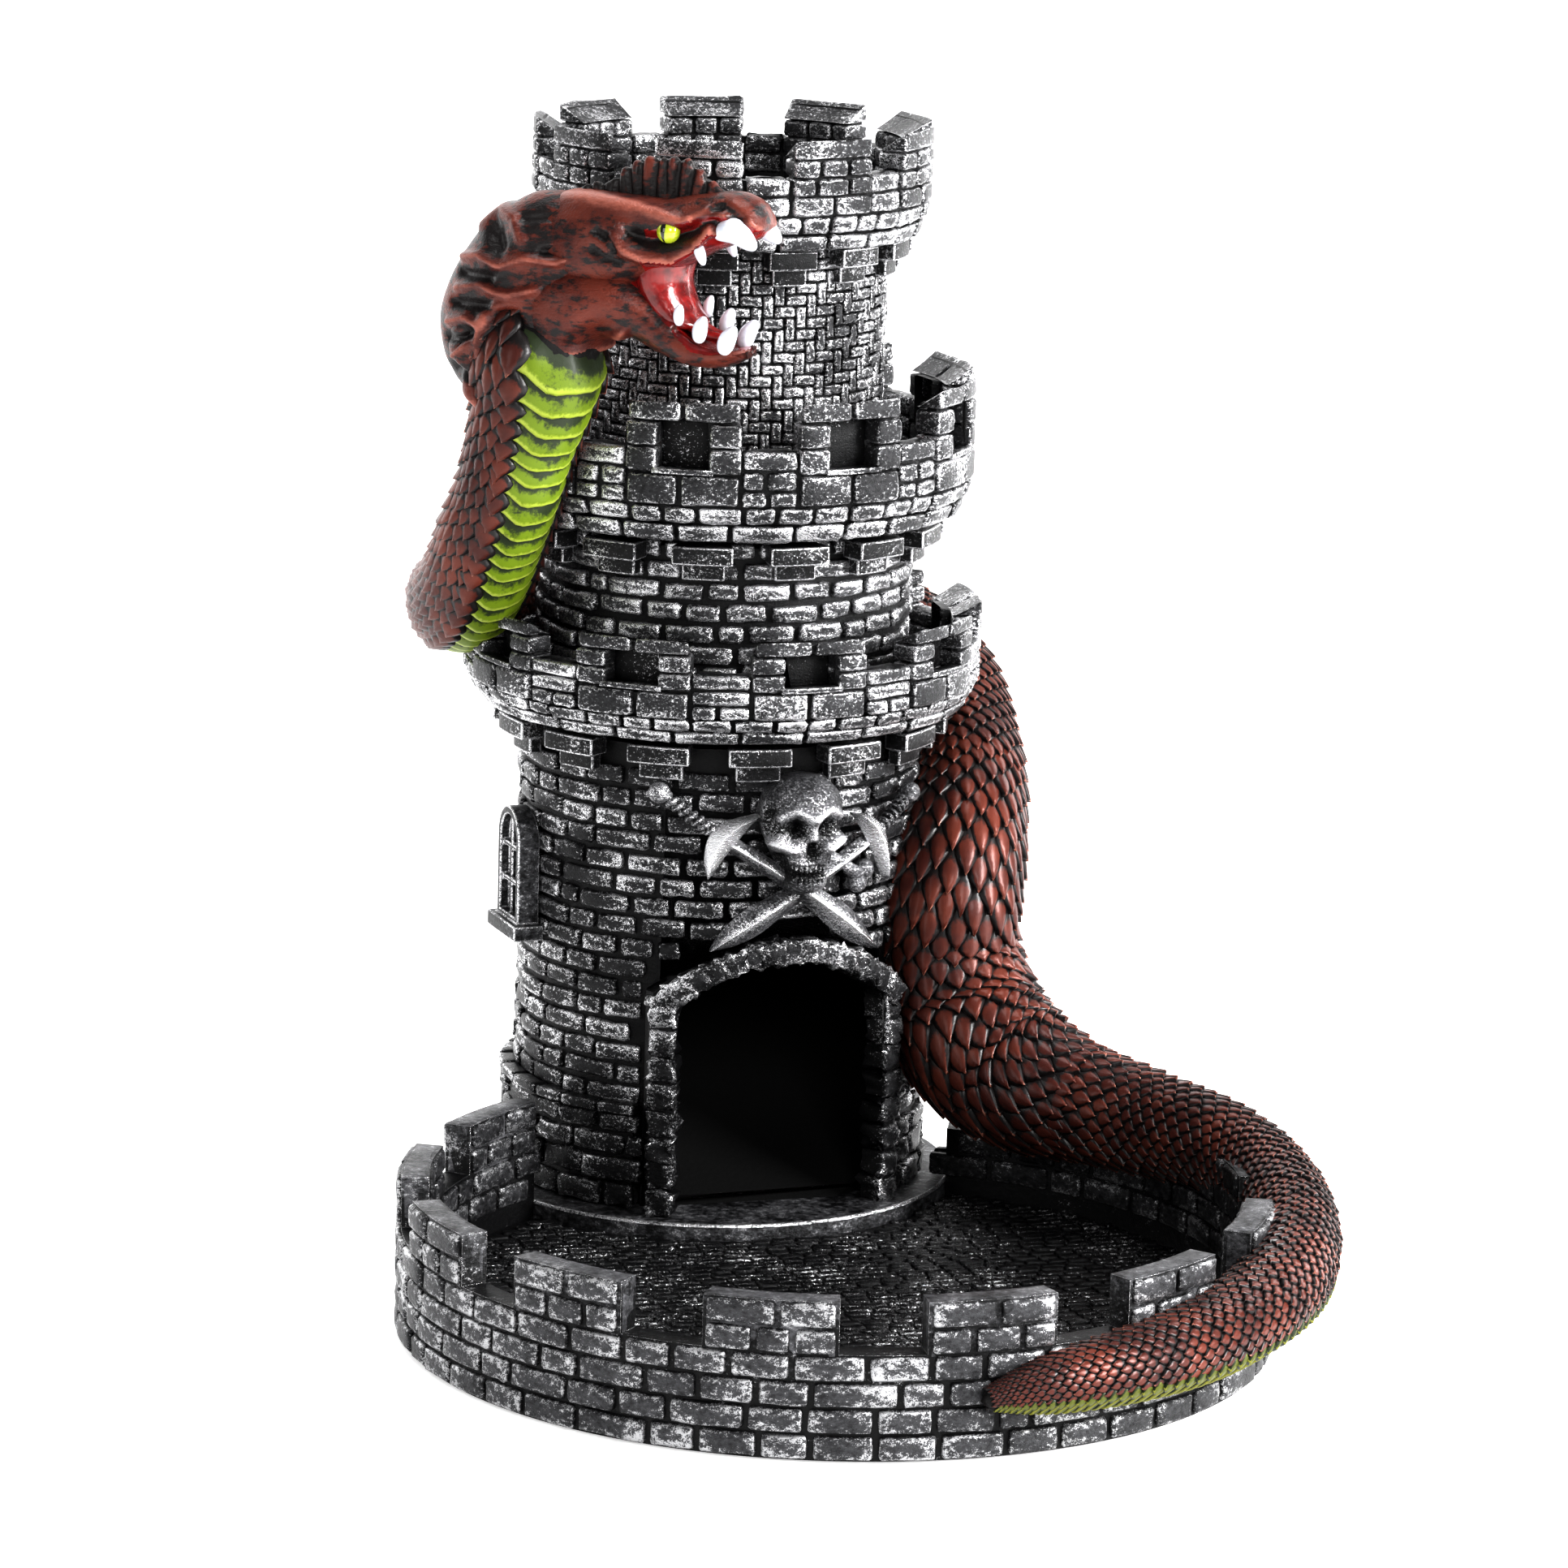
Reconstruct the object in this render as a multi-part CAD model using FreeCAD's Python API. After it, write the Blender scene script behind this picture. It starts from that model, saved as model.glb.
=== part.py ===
"""Dice tower: a round castle keep standing on the rim of a walled dice tray, with a cobra wound round both.

Every piece is a separate resin casting that is bonded to its neighbours. Dice drop into the mouth of the keep,
tumble over two baffles and an exit ramp, and roll through the arched door into the tray.

Frame: millimetres, +Z up, the origin under the middle of the tray, and the door looking towards -Y.
An azimuth is measured round a vertical axis from -Y towards +X, in degrees.
"""

import FreeCAD
import Part
import math
import os

V = FreeCAD.Vector

# ---- driving dimensions -------------------------------------------------------------------------
TRAY_R = 50.0
TRAY_WALL = 4.2
TRAY_FLOOR_TOP = 4.0
TRAY_CRENEL_Z = 11.8
TRAY_TOP_Z = 17.6
PAD_R = 44.0
PAD_T = 1.0
TRAY_MERLON_PITCH = 28.3
TRAY_MERLON_WIDTH = 17.2
TRAY_FIRST_MERLON = 3.3

TOWER_Y = 52.4
TOWER_TURN = 4.0
STEP_R = 29.0
STEP_TOP = 5.6
PLINTH_R = 25.6
PLINTH_TOP = 18.0

LOWER_R, LOWER_BORE = 24.0, 21.5
MID_R, MID_BORE = 22.5, 19.8
TOP_R, TOP_BORE = 18.4, 15.4
LOWER_TOP = 62.0
LOWER_WALK = 66.0
MID_TOP = 85.4
UPPER_WALK = 89.5
TOP_TOP = 119.0

GALLERY_MERLONS = 9
MERLON_WIDTH = 26.6
MERLON_PITCH = 360.0 / GALLERY_MERLONS
CORBELS = 14

DOOR_HALF = 13.2
DOOR_SPRING = 30.0
DOOR_RISE = 6.3
SURROUND = 2.7
SURROUND_OUT = 27.0

SEAT = 3.0
BAFFLE_T = 2.0


# ---- helpers ------------------------------------------------------------------------------------
def at(azimuth, radius, z, axis_y=TOWER_Y):
    """A point at an azimuth and radius round a vertical axis."""
    a = math.radians(azimuth)
    return V(radius * math.sin(a), axis_y - radius * math.cos(a), z)


def cylinder(radius, low, high, y=TOWER_Y):
    return Part.makeCylinder(radius, high - low, V(0, y, low))


def tube(outer, inner, low, high, y=TOWER_Y):
    return cylinder(outer, low, high, y).cut(cylinder(inner, low, high, y))


def turned(profile, first=0.0, sweep=360.0, y=TOWER_Y):
    """A closed (radius, height) outline swept round the axis, from one azimuth through a sweep."""
    wire = Part.makePolygon([V(r, 0, z) for r, z in profile + profile[:1]])
    solid = Part.Face(wire).revolve(V(0, 0, 0), V(0, 0, 1), sweep)
    solid.rotate(V(0, 0, 0), V(0, 0, 1), first - 90.0)
    solid.translate(V(0, y, 0))
    return solid


def radial_block(azimuth, width, low, high, near, far, y=TOWER_Y):
    """A block that reaches from one radius to another, centred on an azimuth."""
    block = Part.makeBox(width, far - near, high - low, V(-width / 2, -far, low))
    block.rotate(V(0, 0, 0), V(0, 0, 1), azimuth)
    block.translate(V(0, y, 0))
    return block


def clean(shape):
    """The shape with its seams between flush faces taken out."""
    return shape.removeSplitter()


def placed_ellipse(centre, along, side, half_side, half_up):
    """An elliptical wire square to a direction, with its first half-axis along side."""
    along = V(along).normalize()
    side = (side - along * side.dot(along)).normalize()
    up = along.cross(side)
    big, small, major = (half_side, half_up, side) if half_side >= half_up else (half_up, half_side, up)
    if abs(big - small) < 1e-6:
        curve = Part.Circle(V(0, 0, 0), V(0, 0, 1), big)
        major = side
    else:
        curve = Part.Ellipse(V(0, 0, 0), big, small)
    wire = Part.Wire([curve.toShape()])
    third = along.cross(major)
    wire.Placement = FreeCAD.Placement(
        FreeCAD.Matrix(
            major.x, third.x, along.x, centre.x,
            major.y, third.y, along.y, centre.y,
            major.z, third.z, along.z, centre.z,
            0, 0, 0, 1,
        )
    )
    return wire


def ball(centre, radius, stretch=(1.0, 1.0, 1.0), turn=0.0):
    """A ball, stretched along its own axes and turned about the vertical."""
    solid = Part.makeSphere(radius)
    if stretch != (1.0, 1.0, 1.0):
        matrix = FreeCAD.Matrix()
        matrix.scale(*stretch)
        solid = solid.transformGeometry(matrix)
    solid.rotate(V(0, 0, 0), V(0, 0, 1), turn)
    solid.translate(centre)
    return solid


def cone_between(base, tip, base_r, tip_r=0.12):
    return Part.makeCone(base_r, tip_r, (tip - base).Length, base, tip - base)


# ---- tray ---------------------------------------------------------------------------------------
def tray_floor():
    floor = cylinder(TRAY_R - TRAY_WALL, 0, TRAY_FLOOR_TOP, 0)
    floor = floor.cut(cylinder(PAD_R, 0, PAD_T, 0))
    return floor.cut(cylinder(STEP_R, 0, TRAY_FLOOR_TOP))


def base_pad():
    return cylinder(PAD_R, 0, PAD_T, 0).cut(cylinder(STEP_R, 0, PAD_T))


def tray_merlon_azimuths():
    """Merlons from beside the keep on the left round to where the cobra's body crosses the wall."""
    return [TRAY_FIRST_MERLON + TRAY_MERLON_PITCH * i for i in range(-5, 4)]


def tray_wall():
    inner = TRAY_R - TRAY_WALL
    wall = tube(TRAY_R, inner, 0, TRAY_CRENEL_Z, 0)
    for azimuth in tray_merlon_azimuths():
        block = [(inner, TRAY_CRENEL_Z - 1), (TRAY_R, TRAY_CRENEL_Z - 1), (TRAY_R, TRAY_TOP_Z), (inner, TRAY_TOP_Z)]
        wall = wall.fuse(turned(block, azimuth - TRAY_MERLON_WIDTH / 2, TRAY_MERLON_WIDTH, 0))
    return clean(wall.cut(cylinder(STEP_R, -1, TRAY_TOP_Z + 1)))


# ---- keep ---------------------------------------------------------------------------------------
def keep_step():
    """The threshold disc that the keep stands on, let into the tray."""
    return cylinder(STEP_R, 0, STEP_TOP)


def door_prism(half, rise, spring, near, far, low):
    """A door-shaped block: straight jambs and a flat segmental arch, reaching outwards at the keep's front."""
    left, crown, right = V(-half, 0, spring), V(0, 0, spring + rise), V(half, 0, spring)
    edges = [
        Part.LineSegment(V(-half, 0, low), left).toShape(),
        Part.Arc(left, crown, right).toShape(),
        Part.LineSegment(right, V(half, 0, low)).toShape(),
        Part.LineSegment(V(half, 0, low), V(-half, 0, low)).toShape(),
    ]
    block = Part.Face(Part.Wire(edges)).extrude(V(0, -(far - near), 0))
    block.translate(V(0, -near, 0))
    block.rotate(V(0, 0, 0), V(0, 0, 1), TOWER_TURN)
    block.translate(V(0, TOWER_Y, 0))
    return block


def doorway(extra=0.0, near=0.0, far=40.0, low=STEP_TOP):
    """The door's clear shape, grown all round by extra."""
    return door_prism(DOOR_HALF + extra, DOOR_RISE, DOOR_SPRING + extra, near, far, low)


def lower_drum():
    drum = tube(LOWER_R, LOWER_BORE, STEP_TOP, LOWER_TOP)
    return clean(drum.cut(doorway()))


def plinth():
    """A thicker course round the foot of the keep, stopped at the door's surround."""
    ring = tube(PLINTH_R, LOWER_R, STEP_TOP, PLINTH_TOP)
    return clean(ring.cut(doorway(SURROUND)))


def door_surround():
    """The arch stones round the door, standing proud of the drum."""
    ring = doorway(SURROUND, 15, 40).cut(doorway(0.0, 0, 50))
    ring = ring.common(tube(SURROUND_OUT, LOWER_R, STEP_TOP, LOWER_TOP))
    return clean(ring)


def gallery(outline, crown_z, top_z, wall_in, wall_out, first, window=None):
    """A fighting gallery: a turned ring with a ring of merlons whose tops slope inwards."""
    ring = turned(outline)
    slope = 0.62 * (wall_out - wall_in)
    drop = min(3.0, 0.72 * (top_z - crown_z))
    merlon = [
        (wall_in, crown_z - 1.0),
        (wall_out, crown_z - 1.0),
        (wall_out, top_z),
        (wall_in + slope, top_z),
        (wall_in, top_z - drop),
    ]
    for i in range(GALLERY_MERLONS):
        azimuth = first + MERLON_PITCH * i
        ring = ring.fuse(turned(merlon, azimuth - MERLON_WIDTH / 2, MERLON_WIDTH))
    if window:
        width, low, high = window
        for i in range(GALLERY_MERLONS):
            hole = radial_block(first + MERLON_PITCH * i, width, low, high, wall_in - 2, wall_out + 2)
            ring = ring.cut(hole)
    return clean(ring)


def lower_gallery():
    outline = [
        (LOWER_BORE - 1.7, LOWER_TOP - SEAT), (LOWER_BORE, LOWER_TOP - SEAT), (LOWER_BORE, LOWER_TOP),
        (27.6, LOWER_TOP), (28.6, 63.2), (30.0, 65.4), (30.8, 68.0), (30.8, 71.2), (27.2, 71.2),
        (27.2, LOWER_WALK), (LOWER_BORE - 1.7, LOWER_WALK),
    ]
    return gallery(outline, 71.2, 75.4, 27.2, 30.8, TOWER_TURN, (5.8, 69.5, 73.3))


def mid_drum():
    return tube(MID_R, MID_BORE, LOWER_WALK, MID_TOP)


def upper_gallery():
    outline = [
        (MID_BORE - 1.7, MID_TOP - SEAT), (MID_BORE, MID_TOP - SEAT), (MID_BORE, MID_TOP),
        (26.2, MID_TOP), (27.4, 87.0), (28.9, 89.0), (29.5, 91.0), (29.5, 97.2), (26.0, 97.2),
        (26.0, UPPER_WALK), (MID_BORE - 1.7, UPPER_WALK),
    ]
    return gallery(outline, 97.2, 102.9, 26.0, 29.5, TOWER_TURN + 10, (5.8, 95.3, 100.2))


def top_drum():
    return tube(TOP_R, TOP_BORE, UPPER_WALK, TOP_TOP)


def crown():
    outline = [
        (TOP_BORE, TOP_TOP), (21.6, TOP_TOP), (22.6, 121.0), (23.6, 123.4), (23.6, 127.9), (19.8, 127.9),
        (19.8, 122.6), (TOP_BORE, 120.4),
    ]
    return gallery(outline, 127.9, 132.2, 19.8, 23.6, TOWER_TURN + 10)


def corbels(drum_r, reach, top, first):
    """Pairs of stepped brackets under a gallery: a wide block on a narrower and shallower one."""
    blocks = []
    for i in range(CORBELS):
        azimuth = first + 360.0 / CORBELS * i
        wide = turned([(drum_r, top - 2.2), (reach, top - 2.2), (reach, top), (drum_r, top)], azimuth - 8, 16)
        step = drum_r + 0.5 * (reach - drum_r)
        narrow = turned([(drum_r, top - 4.2), (step, top - 4.2), (step, top - 2.2), (drum_r, top - 2.2)], azimuth - 6, 12)
        blocks.append(clean(wide.fuse(narrow)))
    return blocks


def lower_corbels():
    return Part.makeCompound(corbels(LOWER_R, 27.2, LOWER_TOP, TOWER_TURN - 9.8))


def upper_corbels():
    return Part.makeCompound(corbels(MID_R, 26.0, MID_TOP, TOWER_TURN))


def crown_corbels():
    return Part.makeCompound(corbels(TOP_R, 21.2, TOP_TOP, TOWER_TURN))


# ---- ramps inside the keep ----------------------------------------------------------------------
def slope_plate(radius, y_high, z_high, y_low, z_low, thickness):
    """A sloping plate across the bore, cut to the bore's curve."""
    outline = [V(0, y_high, z_high), V(0, y_low, z_low), V(0, y_low, z_low - thickness), V(0, y_high, z_high - thickness)]
    plate = Part.Face(Part.makePolygon(outline + outline[:1])).extrude(V(2 * radius, 0, 0))
    plate.translate(V(-radius, 0, 0))
    low = min(z_high, z_low) - thickness - 1
    return plate.common(cylinder(radius, low, max(z_high, z_low) + 1))


def upper_baffle():
    return slope_plate(MID_BORE, TOWER_Y + MID_BORE + 1, 81.6, TOWER_Y + 8.5, 69.6, BAFFLE_T)


def lower_baffle():
    return slope_plate(LOWER_BORE, TOWER_Y - LOWER_BORE - 1, 57.4, TOWER_Y - 4.8, 44.4, BAFFLE_T)


def exit_ramp():
    """The wedge on the step that turns the dice out of the door."""
    back, front = TOWER_Y + LOWER_BORE + 1, TOWER_Y - 19.0
    outline = [V(0, back, 29.5), V(0, front, STEP_TOP), V(0, back, STEP_TOP)]
    wedge = Part.Face(Part.makePolygon(outline + outline[:1])).extrude(V(2 * LOWER_BORE, 0, 0))
    wedge.translate(V(-LOWER_BORE, 0, 0))
    return wedge.common(cylinder(LOWER_BORE, STEP_TOP, LOWER_TOP))


# ---- windows and trophy on the keep -------------------------------------------------------------
WINDOW_AZIMUTHS = {"window_left": -86.0, "window_back": 176.0}
WINDOW_HALF, WINDOW_FOOT, WINDOW_SPRING = 3.9, 36.8, 46.9
WINDOW_IN, WINDOW_OUT = 23.2, 26.4


def window(azimuth):
    """A blind arched window: frame, glazing bars and sill in one casting."""
    def arch(half, near, far, low):
        left, right = V(-half, 0, WINDOW_SPRING), V(half, 0, WINDOW_SPRING)
        edges = [
            Part.LineSegment(V(-half, 0, low), left).toShape(),
            Part.Arc(left, V(0, 0, WINDOW_SPRING + half), right).toShape(),
            Part.LineSegment(right, V(half, 0, low)).toShape(),
            Part.LineSegment(V(half, 0, low), V(-half, 0, low)).toShape(),
        ]
        face = Part.Face(Part.Wire(edges))
        block = face.extrude(V(0, -(far - near), 0))
        block.translate(V(0, -near, 0))
        return block

    glass_face = WINDOW_OUT - 1.2
    frame = arch(WINDOW_HALF, WINDOW_IN, WINDOW_OUT, WINDOW_FOOT)
    frame = frame.cut(arch(WINDOW_HALF - 1.0, glass_face, WINDOW_OUT + 1, WINDOW_FOOT + 1.0))
    bar_y = -(WINDOW_OUT - 0.4)
    frame = frame.fuse(Part.makeBox(0.6, 0.9, 12.8, V(-0.3, bar_y, WINDOW_FOOT + 0.8)))
    for z in (WINDOW_FOOT + 4.6, WINDOW_FOOT + 8.8):
        frame = frame.fuse(Part.makeBox(2 * WINDOW_HALF - 1.0, 0.9, 0.6, V(-WINDOW_HALF + 0.5, bar_y, z)))
    sill = Part.makeBox(2 * WINDOW_HALF + 2.4, 4.0, 1.8, V(-WINDOW_HALF - 1.2, -(WINDOW_OUT + 0.8), WINDOW_FOOT - 1.4))
    frame = frame.fuse(sill)
    frame.rotate(V(0, 0, 0), V(0, 0, 1), azimuth)
    frame.translate(V(0, TOWER_Y, 0))
    return clean(frame.cut(cylinder(LOWER_R, 0, 90)))


SKULL_AZIMUTH = 6.4
TROPHY_FACE = LOWER_R + 1.4
# Tip, middle of the guard and pommel of each sword, as azimuth and height on the drum.
SWORD_LEFT = ((30.5, 37.4), (-13.5, 50.9), (-31.2, 56.4))
SWORD_RIGHT = ((-18.4, 38.3), (27.7, 49.9), (45.0, 54.4))


def skull():
    """The skull over the door: cranium, cheeks and jaw with hollow eyes and nose."""
    y = -LOWER_R - 1.5
    solid = ball(V(0, y, 53.3), 5.1, (1.0, 0.82, 1.06))
    solid = solid.fuse(ball(V(0, y - 0.9, 49.7), 3.5, (1.15, 0.8, 0.9)))
    solid = solid.fuse(ball(V(0, y - 0.7, 47.6), 2.7, (1.05, 0.9, 0.95)))
    for side in (-1, 1):
        solid = solid.cut(ball(V(side * 2.05, y - 4.5, 51.6), 1.5))
    solid = solid.cut(cone_between(V(0, y - 4.9, 48.7), V(0, y - 4.2, 50.4), 0.95, 0.3))
    solid.rotate(V(0, 0, 0), V(0, 0, 1), SKULL_AZIMUTH)
    solid.translate(V(0, TOWER_Y, 0))
    return solid.cut(cylinder(LOWER_R, 0, 90))


def on_drum(outline, proud):
    """An outline of (distance round the drum, height) wrapped on the drum as a plate."""
    points = [V(TROPHY_FACE * math.sin(s / TROPHY_FACE), TOWER_Y, z) for s, z in outline]
    prism = Part.Face(Part.makePolygon(points + points[:1])).extrude(V(0, -40, 0))
    return prism.common(tube(LOWER_R + proud, LOWER_R, 30, LOWER_TOP))


def sword(places, proud):
    """One of the crossed swords: blade, cross guard, grip and pommel."""
    unrolled = [(TROPHY_FACE * math.radians(azimuth), z) for azimuth, z in places]
    (tip_s, tip_z), (guard_s, guard_z), _ = unrolled
    length = math.hypot(guard_s - tip_s, guard_z - tip_z)
    ds, dz = (guard_s - tip_s) / length, (guard_z - tip_z) / length

    def spot(along, across):
        return (tip_s + ds * along - dz * across, tip_z + dz * along + ds * across)

    outline = [spot(0, 0), spot(6, 1.5), spot(length, 1.7), spot(length, -1.7), spot(6, -1.5)]
    solid = on_drum(outline, proud)
    bar = [spot(length, 4.6), spot(length + 1.5, 0.9), spot(length + 1.5, -0.9)]
    bar += [spot(length, -4.6), spot(length - 1.5, -0.9), spot(length - 1.5, 0.9)]
    solid = solid.fuse(on_drum(bar, 3.0))
    guard, pommel = (at(azimuth, TROPHY_FACE, z) for azimuth, z in places[1:])
    solid = solid.fuse(Part.makeCylinder(0.95, (pommel - guard).Length, guard, pommel - guard))
    solid = solid.fuse(ball(pommel, 1.5))
    return solid.cut(cylinder(LOWER_R, 0, 90))


def crossbone():
    """A bone behind the skull, with a knuckle at its lower end."""
    top, foot = at(10, TROPHY_FACE, 50.0), at(25, TROPHY_FACE, 45.8)
    solid = cone_between(top, foot, 0.9, 0.8)
    for azimuth, z in ((24.6, 44.8), (27.2, 46.4)):
        solid = solid.fuse(ball(at(azimuth, TROPHY_FACE - 0.2, z), 1.15))
    return solid.cut(cylinder(LOWER_R, 0, 90))


def trophy():
    """The skull on crossed swords: the right sword lies on the wall, and the others are let over it."""
    right = sword(SWORD_RIGHT, 1.7)
    left = sword(SWORD_LEFT, 2.9).cut(right)
    head = skull().cut(left).cut(right)
    bone = crossbone().cut(left).cut(right).cut(head)
    return {"sword_right": right, "sword_left": left, "skull": head, "crossbone": bone}


# ---- cobra --------------------------------------------------------------------------------------
# Azimuth, radius from the axis, height and half thickness: first round the tray, then round the keep.
TAIL_ROUTE = [
    (1, 50.9, 6.8, 1.0), (9, 51.0, 7.8, 2.8), (20, 51.3, 8.6, 3.7), (32, 51.7, 9.3, 4.2), (44, 52.0, 10.3, 4.5),
    (56, 52.2, 11.5, 4.7), (68, 52.0, 13.0, 4.7), (80, 51.6, 14.4, 4.7), (91, 51.0, 15.6, 4.8), (101, 49.2, 16.8, 5.1),
    (111.6, 47.5, 16.9, 5.6), (122, 45.1, 18.0, 6.3),
]
KEEP_ROUTE = [
    (54.5, 41.1, 20.1, 7.0), (56.2, 36.7, 22.3, 7.4), (57.5, 32.4, 25.5, 7.8), (59.9, 29.7, 28.9, 8.0),
    (60.5, 28.3, 34.0, 8.0), (61, 28.4, 40.0, 7.9), (66, 29.0, 46.0, 7.4), (78, 30.0, 52.0, 6.4),
    (94, 31.6, 57.0, 5.7), (109, 34.2, 61.5, 5.4), (125, 36.0, 65.5, 5.4),
    (144, 36.2, 69.0, 5.4), (164, 35.8, 71.2, 5.4), (186, 35.2, 72.4, 5.4), (208, 34.0, 72.8, 5.5), (228, 32.4, 73.2, 5.7),
    (246, 31.4, 73.6, 5.8), (262, 31.2, 74.6, 5.8), (274, 31.6, 77.0, 5.8), (283, 32.3, 80.8, 5.8), (290, 33.1, 85.8, 5.8),
    (297, 33.9, 91.8, 5.7), (301, 34.4, 97.6, 5.9), (304, 34.6, 102.6, 6.6), (305.5, 34.7, 107.3, 7.4),
]
PIECE_ENDS = {"snake_tail": (0, 11), "snake_lower_body": (11, 19), "snake_coil": (19, 28), "snake_neck": (28, 36)}


def snake_stations():
    tail = [(at(a, r, z, 0), t) for a, r, z, t in TAIL_ROUTE]
    body = [(at(a, r, z), t) for a, r, z, t in KEEP_ROUTE]
    return tail + body


def snake_body():
    """The body's castings, butted end to end on shared round faces."""
    stations = snake_stations()
    points = [p for p, _ in stations]
    curve = Part.BSplineCurve()
    curve.interpolate(points)
    side = V(0, 0, 1)
    wires = []
    for point, radius in stations:
        along = curve.tangent(curve.parameter(point))[0]
        side = (side - along * side.dot(along)).normalize()
        wires.append(placed_ellipse(point, along, side, radius, radius))
    return {name: Part.makeLoft(wires[a : b + 1], True, False) for name, (a, b) in PIECE_ENDS.items()}


# The head looks along HEAD_AZIMUTH and lies across the keep's front left.
HEAD_AZIMUTH = 50.0
HEAD_ALONG = V(math.sin(math.radians(HEAD_AZIMUTH)), -math.cos(math.radians(HEAD_AZIMUTH)), 0)
HEAD_SIDE = V(HEAD_ALONG.y, -HEAD_ALONG.x, 0)
HEAD_BACK = V(-24.5, 31.5, 119.5)
UP = V(0, 0, 1)


def head_point(forward, side, up):
    """A point measured from the nape: forwards, towards the outer side, and up."""
    return HEAD_BACK + HEAD_ALONG * forward + HEAD_SIDE * side + UP * up


def oval_loft(stations):
    """A body through ovals: forward, up, half width, half height, and the pitch of the axis there."""
    wires = []
    for forward, up, half_side, half_up, pitch in stations:
        p = math.radians(pitch)
        along = HEAD_ALONG * math.cos(p) + UP * math.sin(p)
        wires.append(placed_ellipse(head_point(forward, 0, up), along, HEAD_SIDE, half_side, half_up))
    return Part.makeLoft(wires, True, False)


def snake_hood():
    """The spread hood behind the head, broad along the head's line and thin through."""
    wires = []
    for up, back, front, half_side in (
        (-18.2, -12.8, -8.6, 1.2), (-15.0, -13.8, -5.0, 3.2), (-11.5, -15.4, 4.4, 5.6), (-8.0, -16.0, 6.2, 6.4),
        (-4.0, -14.9, 6.0, 6.6), (0.0, -12.6, 5.0, 6.6), (3.4, -9.8, 4.0, 5.6), (6.0, -6.0, 2.0, 3.0),
    ):
        middle = head_point((back + front) / 2, 0.6, up)
        wires.append(placed_ellipse(middle, UP, HEAD_ALONG, (front - back) / 2, half_side))
    return Part.makeLoft(wires, True, False)


def snake_head():
    """The upper head from the nape to the snout."""
    stations = [
        (-1.5, 1.0, 6.0, 5.2, 4), (3.0, 1.0, 6.8, 5.8, 4), (8.0, 1.8, 6.8, 5.2, 6), (12.5, 2.9, 5.8, 4.2, 10),
        (16.5, 4.4, 4.8, 3.4, 12), (20.5, 5.3, 4.0, 2.9, 4), (24.0, 4.9, 2.6, 1.8, -10),
    ]
    return oval_loft(stations)


def snake_jaw():
    """The lower jaw, hanging wide open."""
    stations = [
        (4.5, -4.6, 6.0, 3.2, -24), (10.0, -6.8, 5.4, 2.8, -30), (15.0, -9.4, 4.6, 2.1, -20), (19.0, -10.1, 3.6, 1.6, -2),
        (22.2, -9.0, 2.2, 1.0, 24),
    ]
    return oval_loft(stations)


def snake_tongue():
    """The tongue and the flesh that it lies on."""
    return oval_loft([(7.5, -2.4, 3.0, 1.4, -30), (12.0, -4.4, 2.8, 1.2, -30), (17.5, -7.4, 1.6, 0.7, -20)])


def snake_crest():
    """The ribbed fin along the top of the head."""
    outline = [(0.0, 5.6), (1.6, 8.8), (4.0, 8.4), (8.8, 11.3), (14.0, 11.5), (16.0, 9.8), (18.0, 7.0), (16.0, 5.6)]
    points = [head_point(f, -0.8, u) for f, u in outline]
    return Part.Face(Part.makePolygon(points + points[:1])).extrude(HEAD_SIDE * 1.6)


# Root and tip of each tooth on the outer side (forward, side, up) with its root radius.
UPPER_FANGS = [((19.6, 3.0, 4.6), (24.0, 3.6, 1.6), 1.6), ((17.2, 4.0, 2.4), (17.8, 4.3, 0.2), 0.7)]
LOWER_TEETH = [
    ((14.8, 3.9, -6.6), (15.2, 4.3, -4.2), 0.7), ((17.2, 3.6, -8.2), (17.8, 3.9, -5.2), 0.95),
    ((20.0, 2.7, -9.6), (21.0, 3.0, -6.2), 1.15),
]


def teeth(rows):
    """Both sides' teeth, each a cone of its own."""
    made = []
    for root, tip, radius in rows:
        for side in (-1, 1):
            ends = [head_point(f, side * s, u) for f, s, u in (root, tip)]
            made.append(cone_between(ends[0], ends[1], radius))
    return made


def snake_eyes():
    return [ball(head_point(13.6, side * 5.3, 4.1), 1.3) for side in (-1, 1)]


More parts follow.
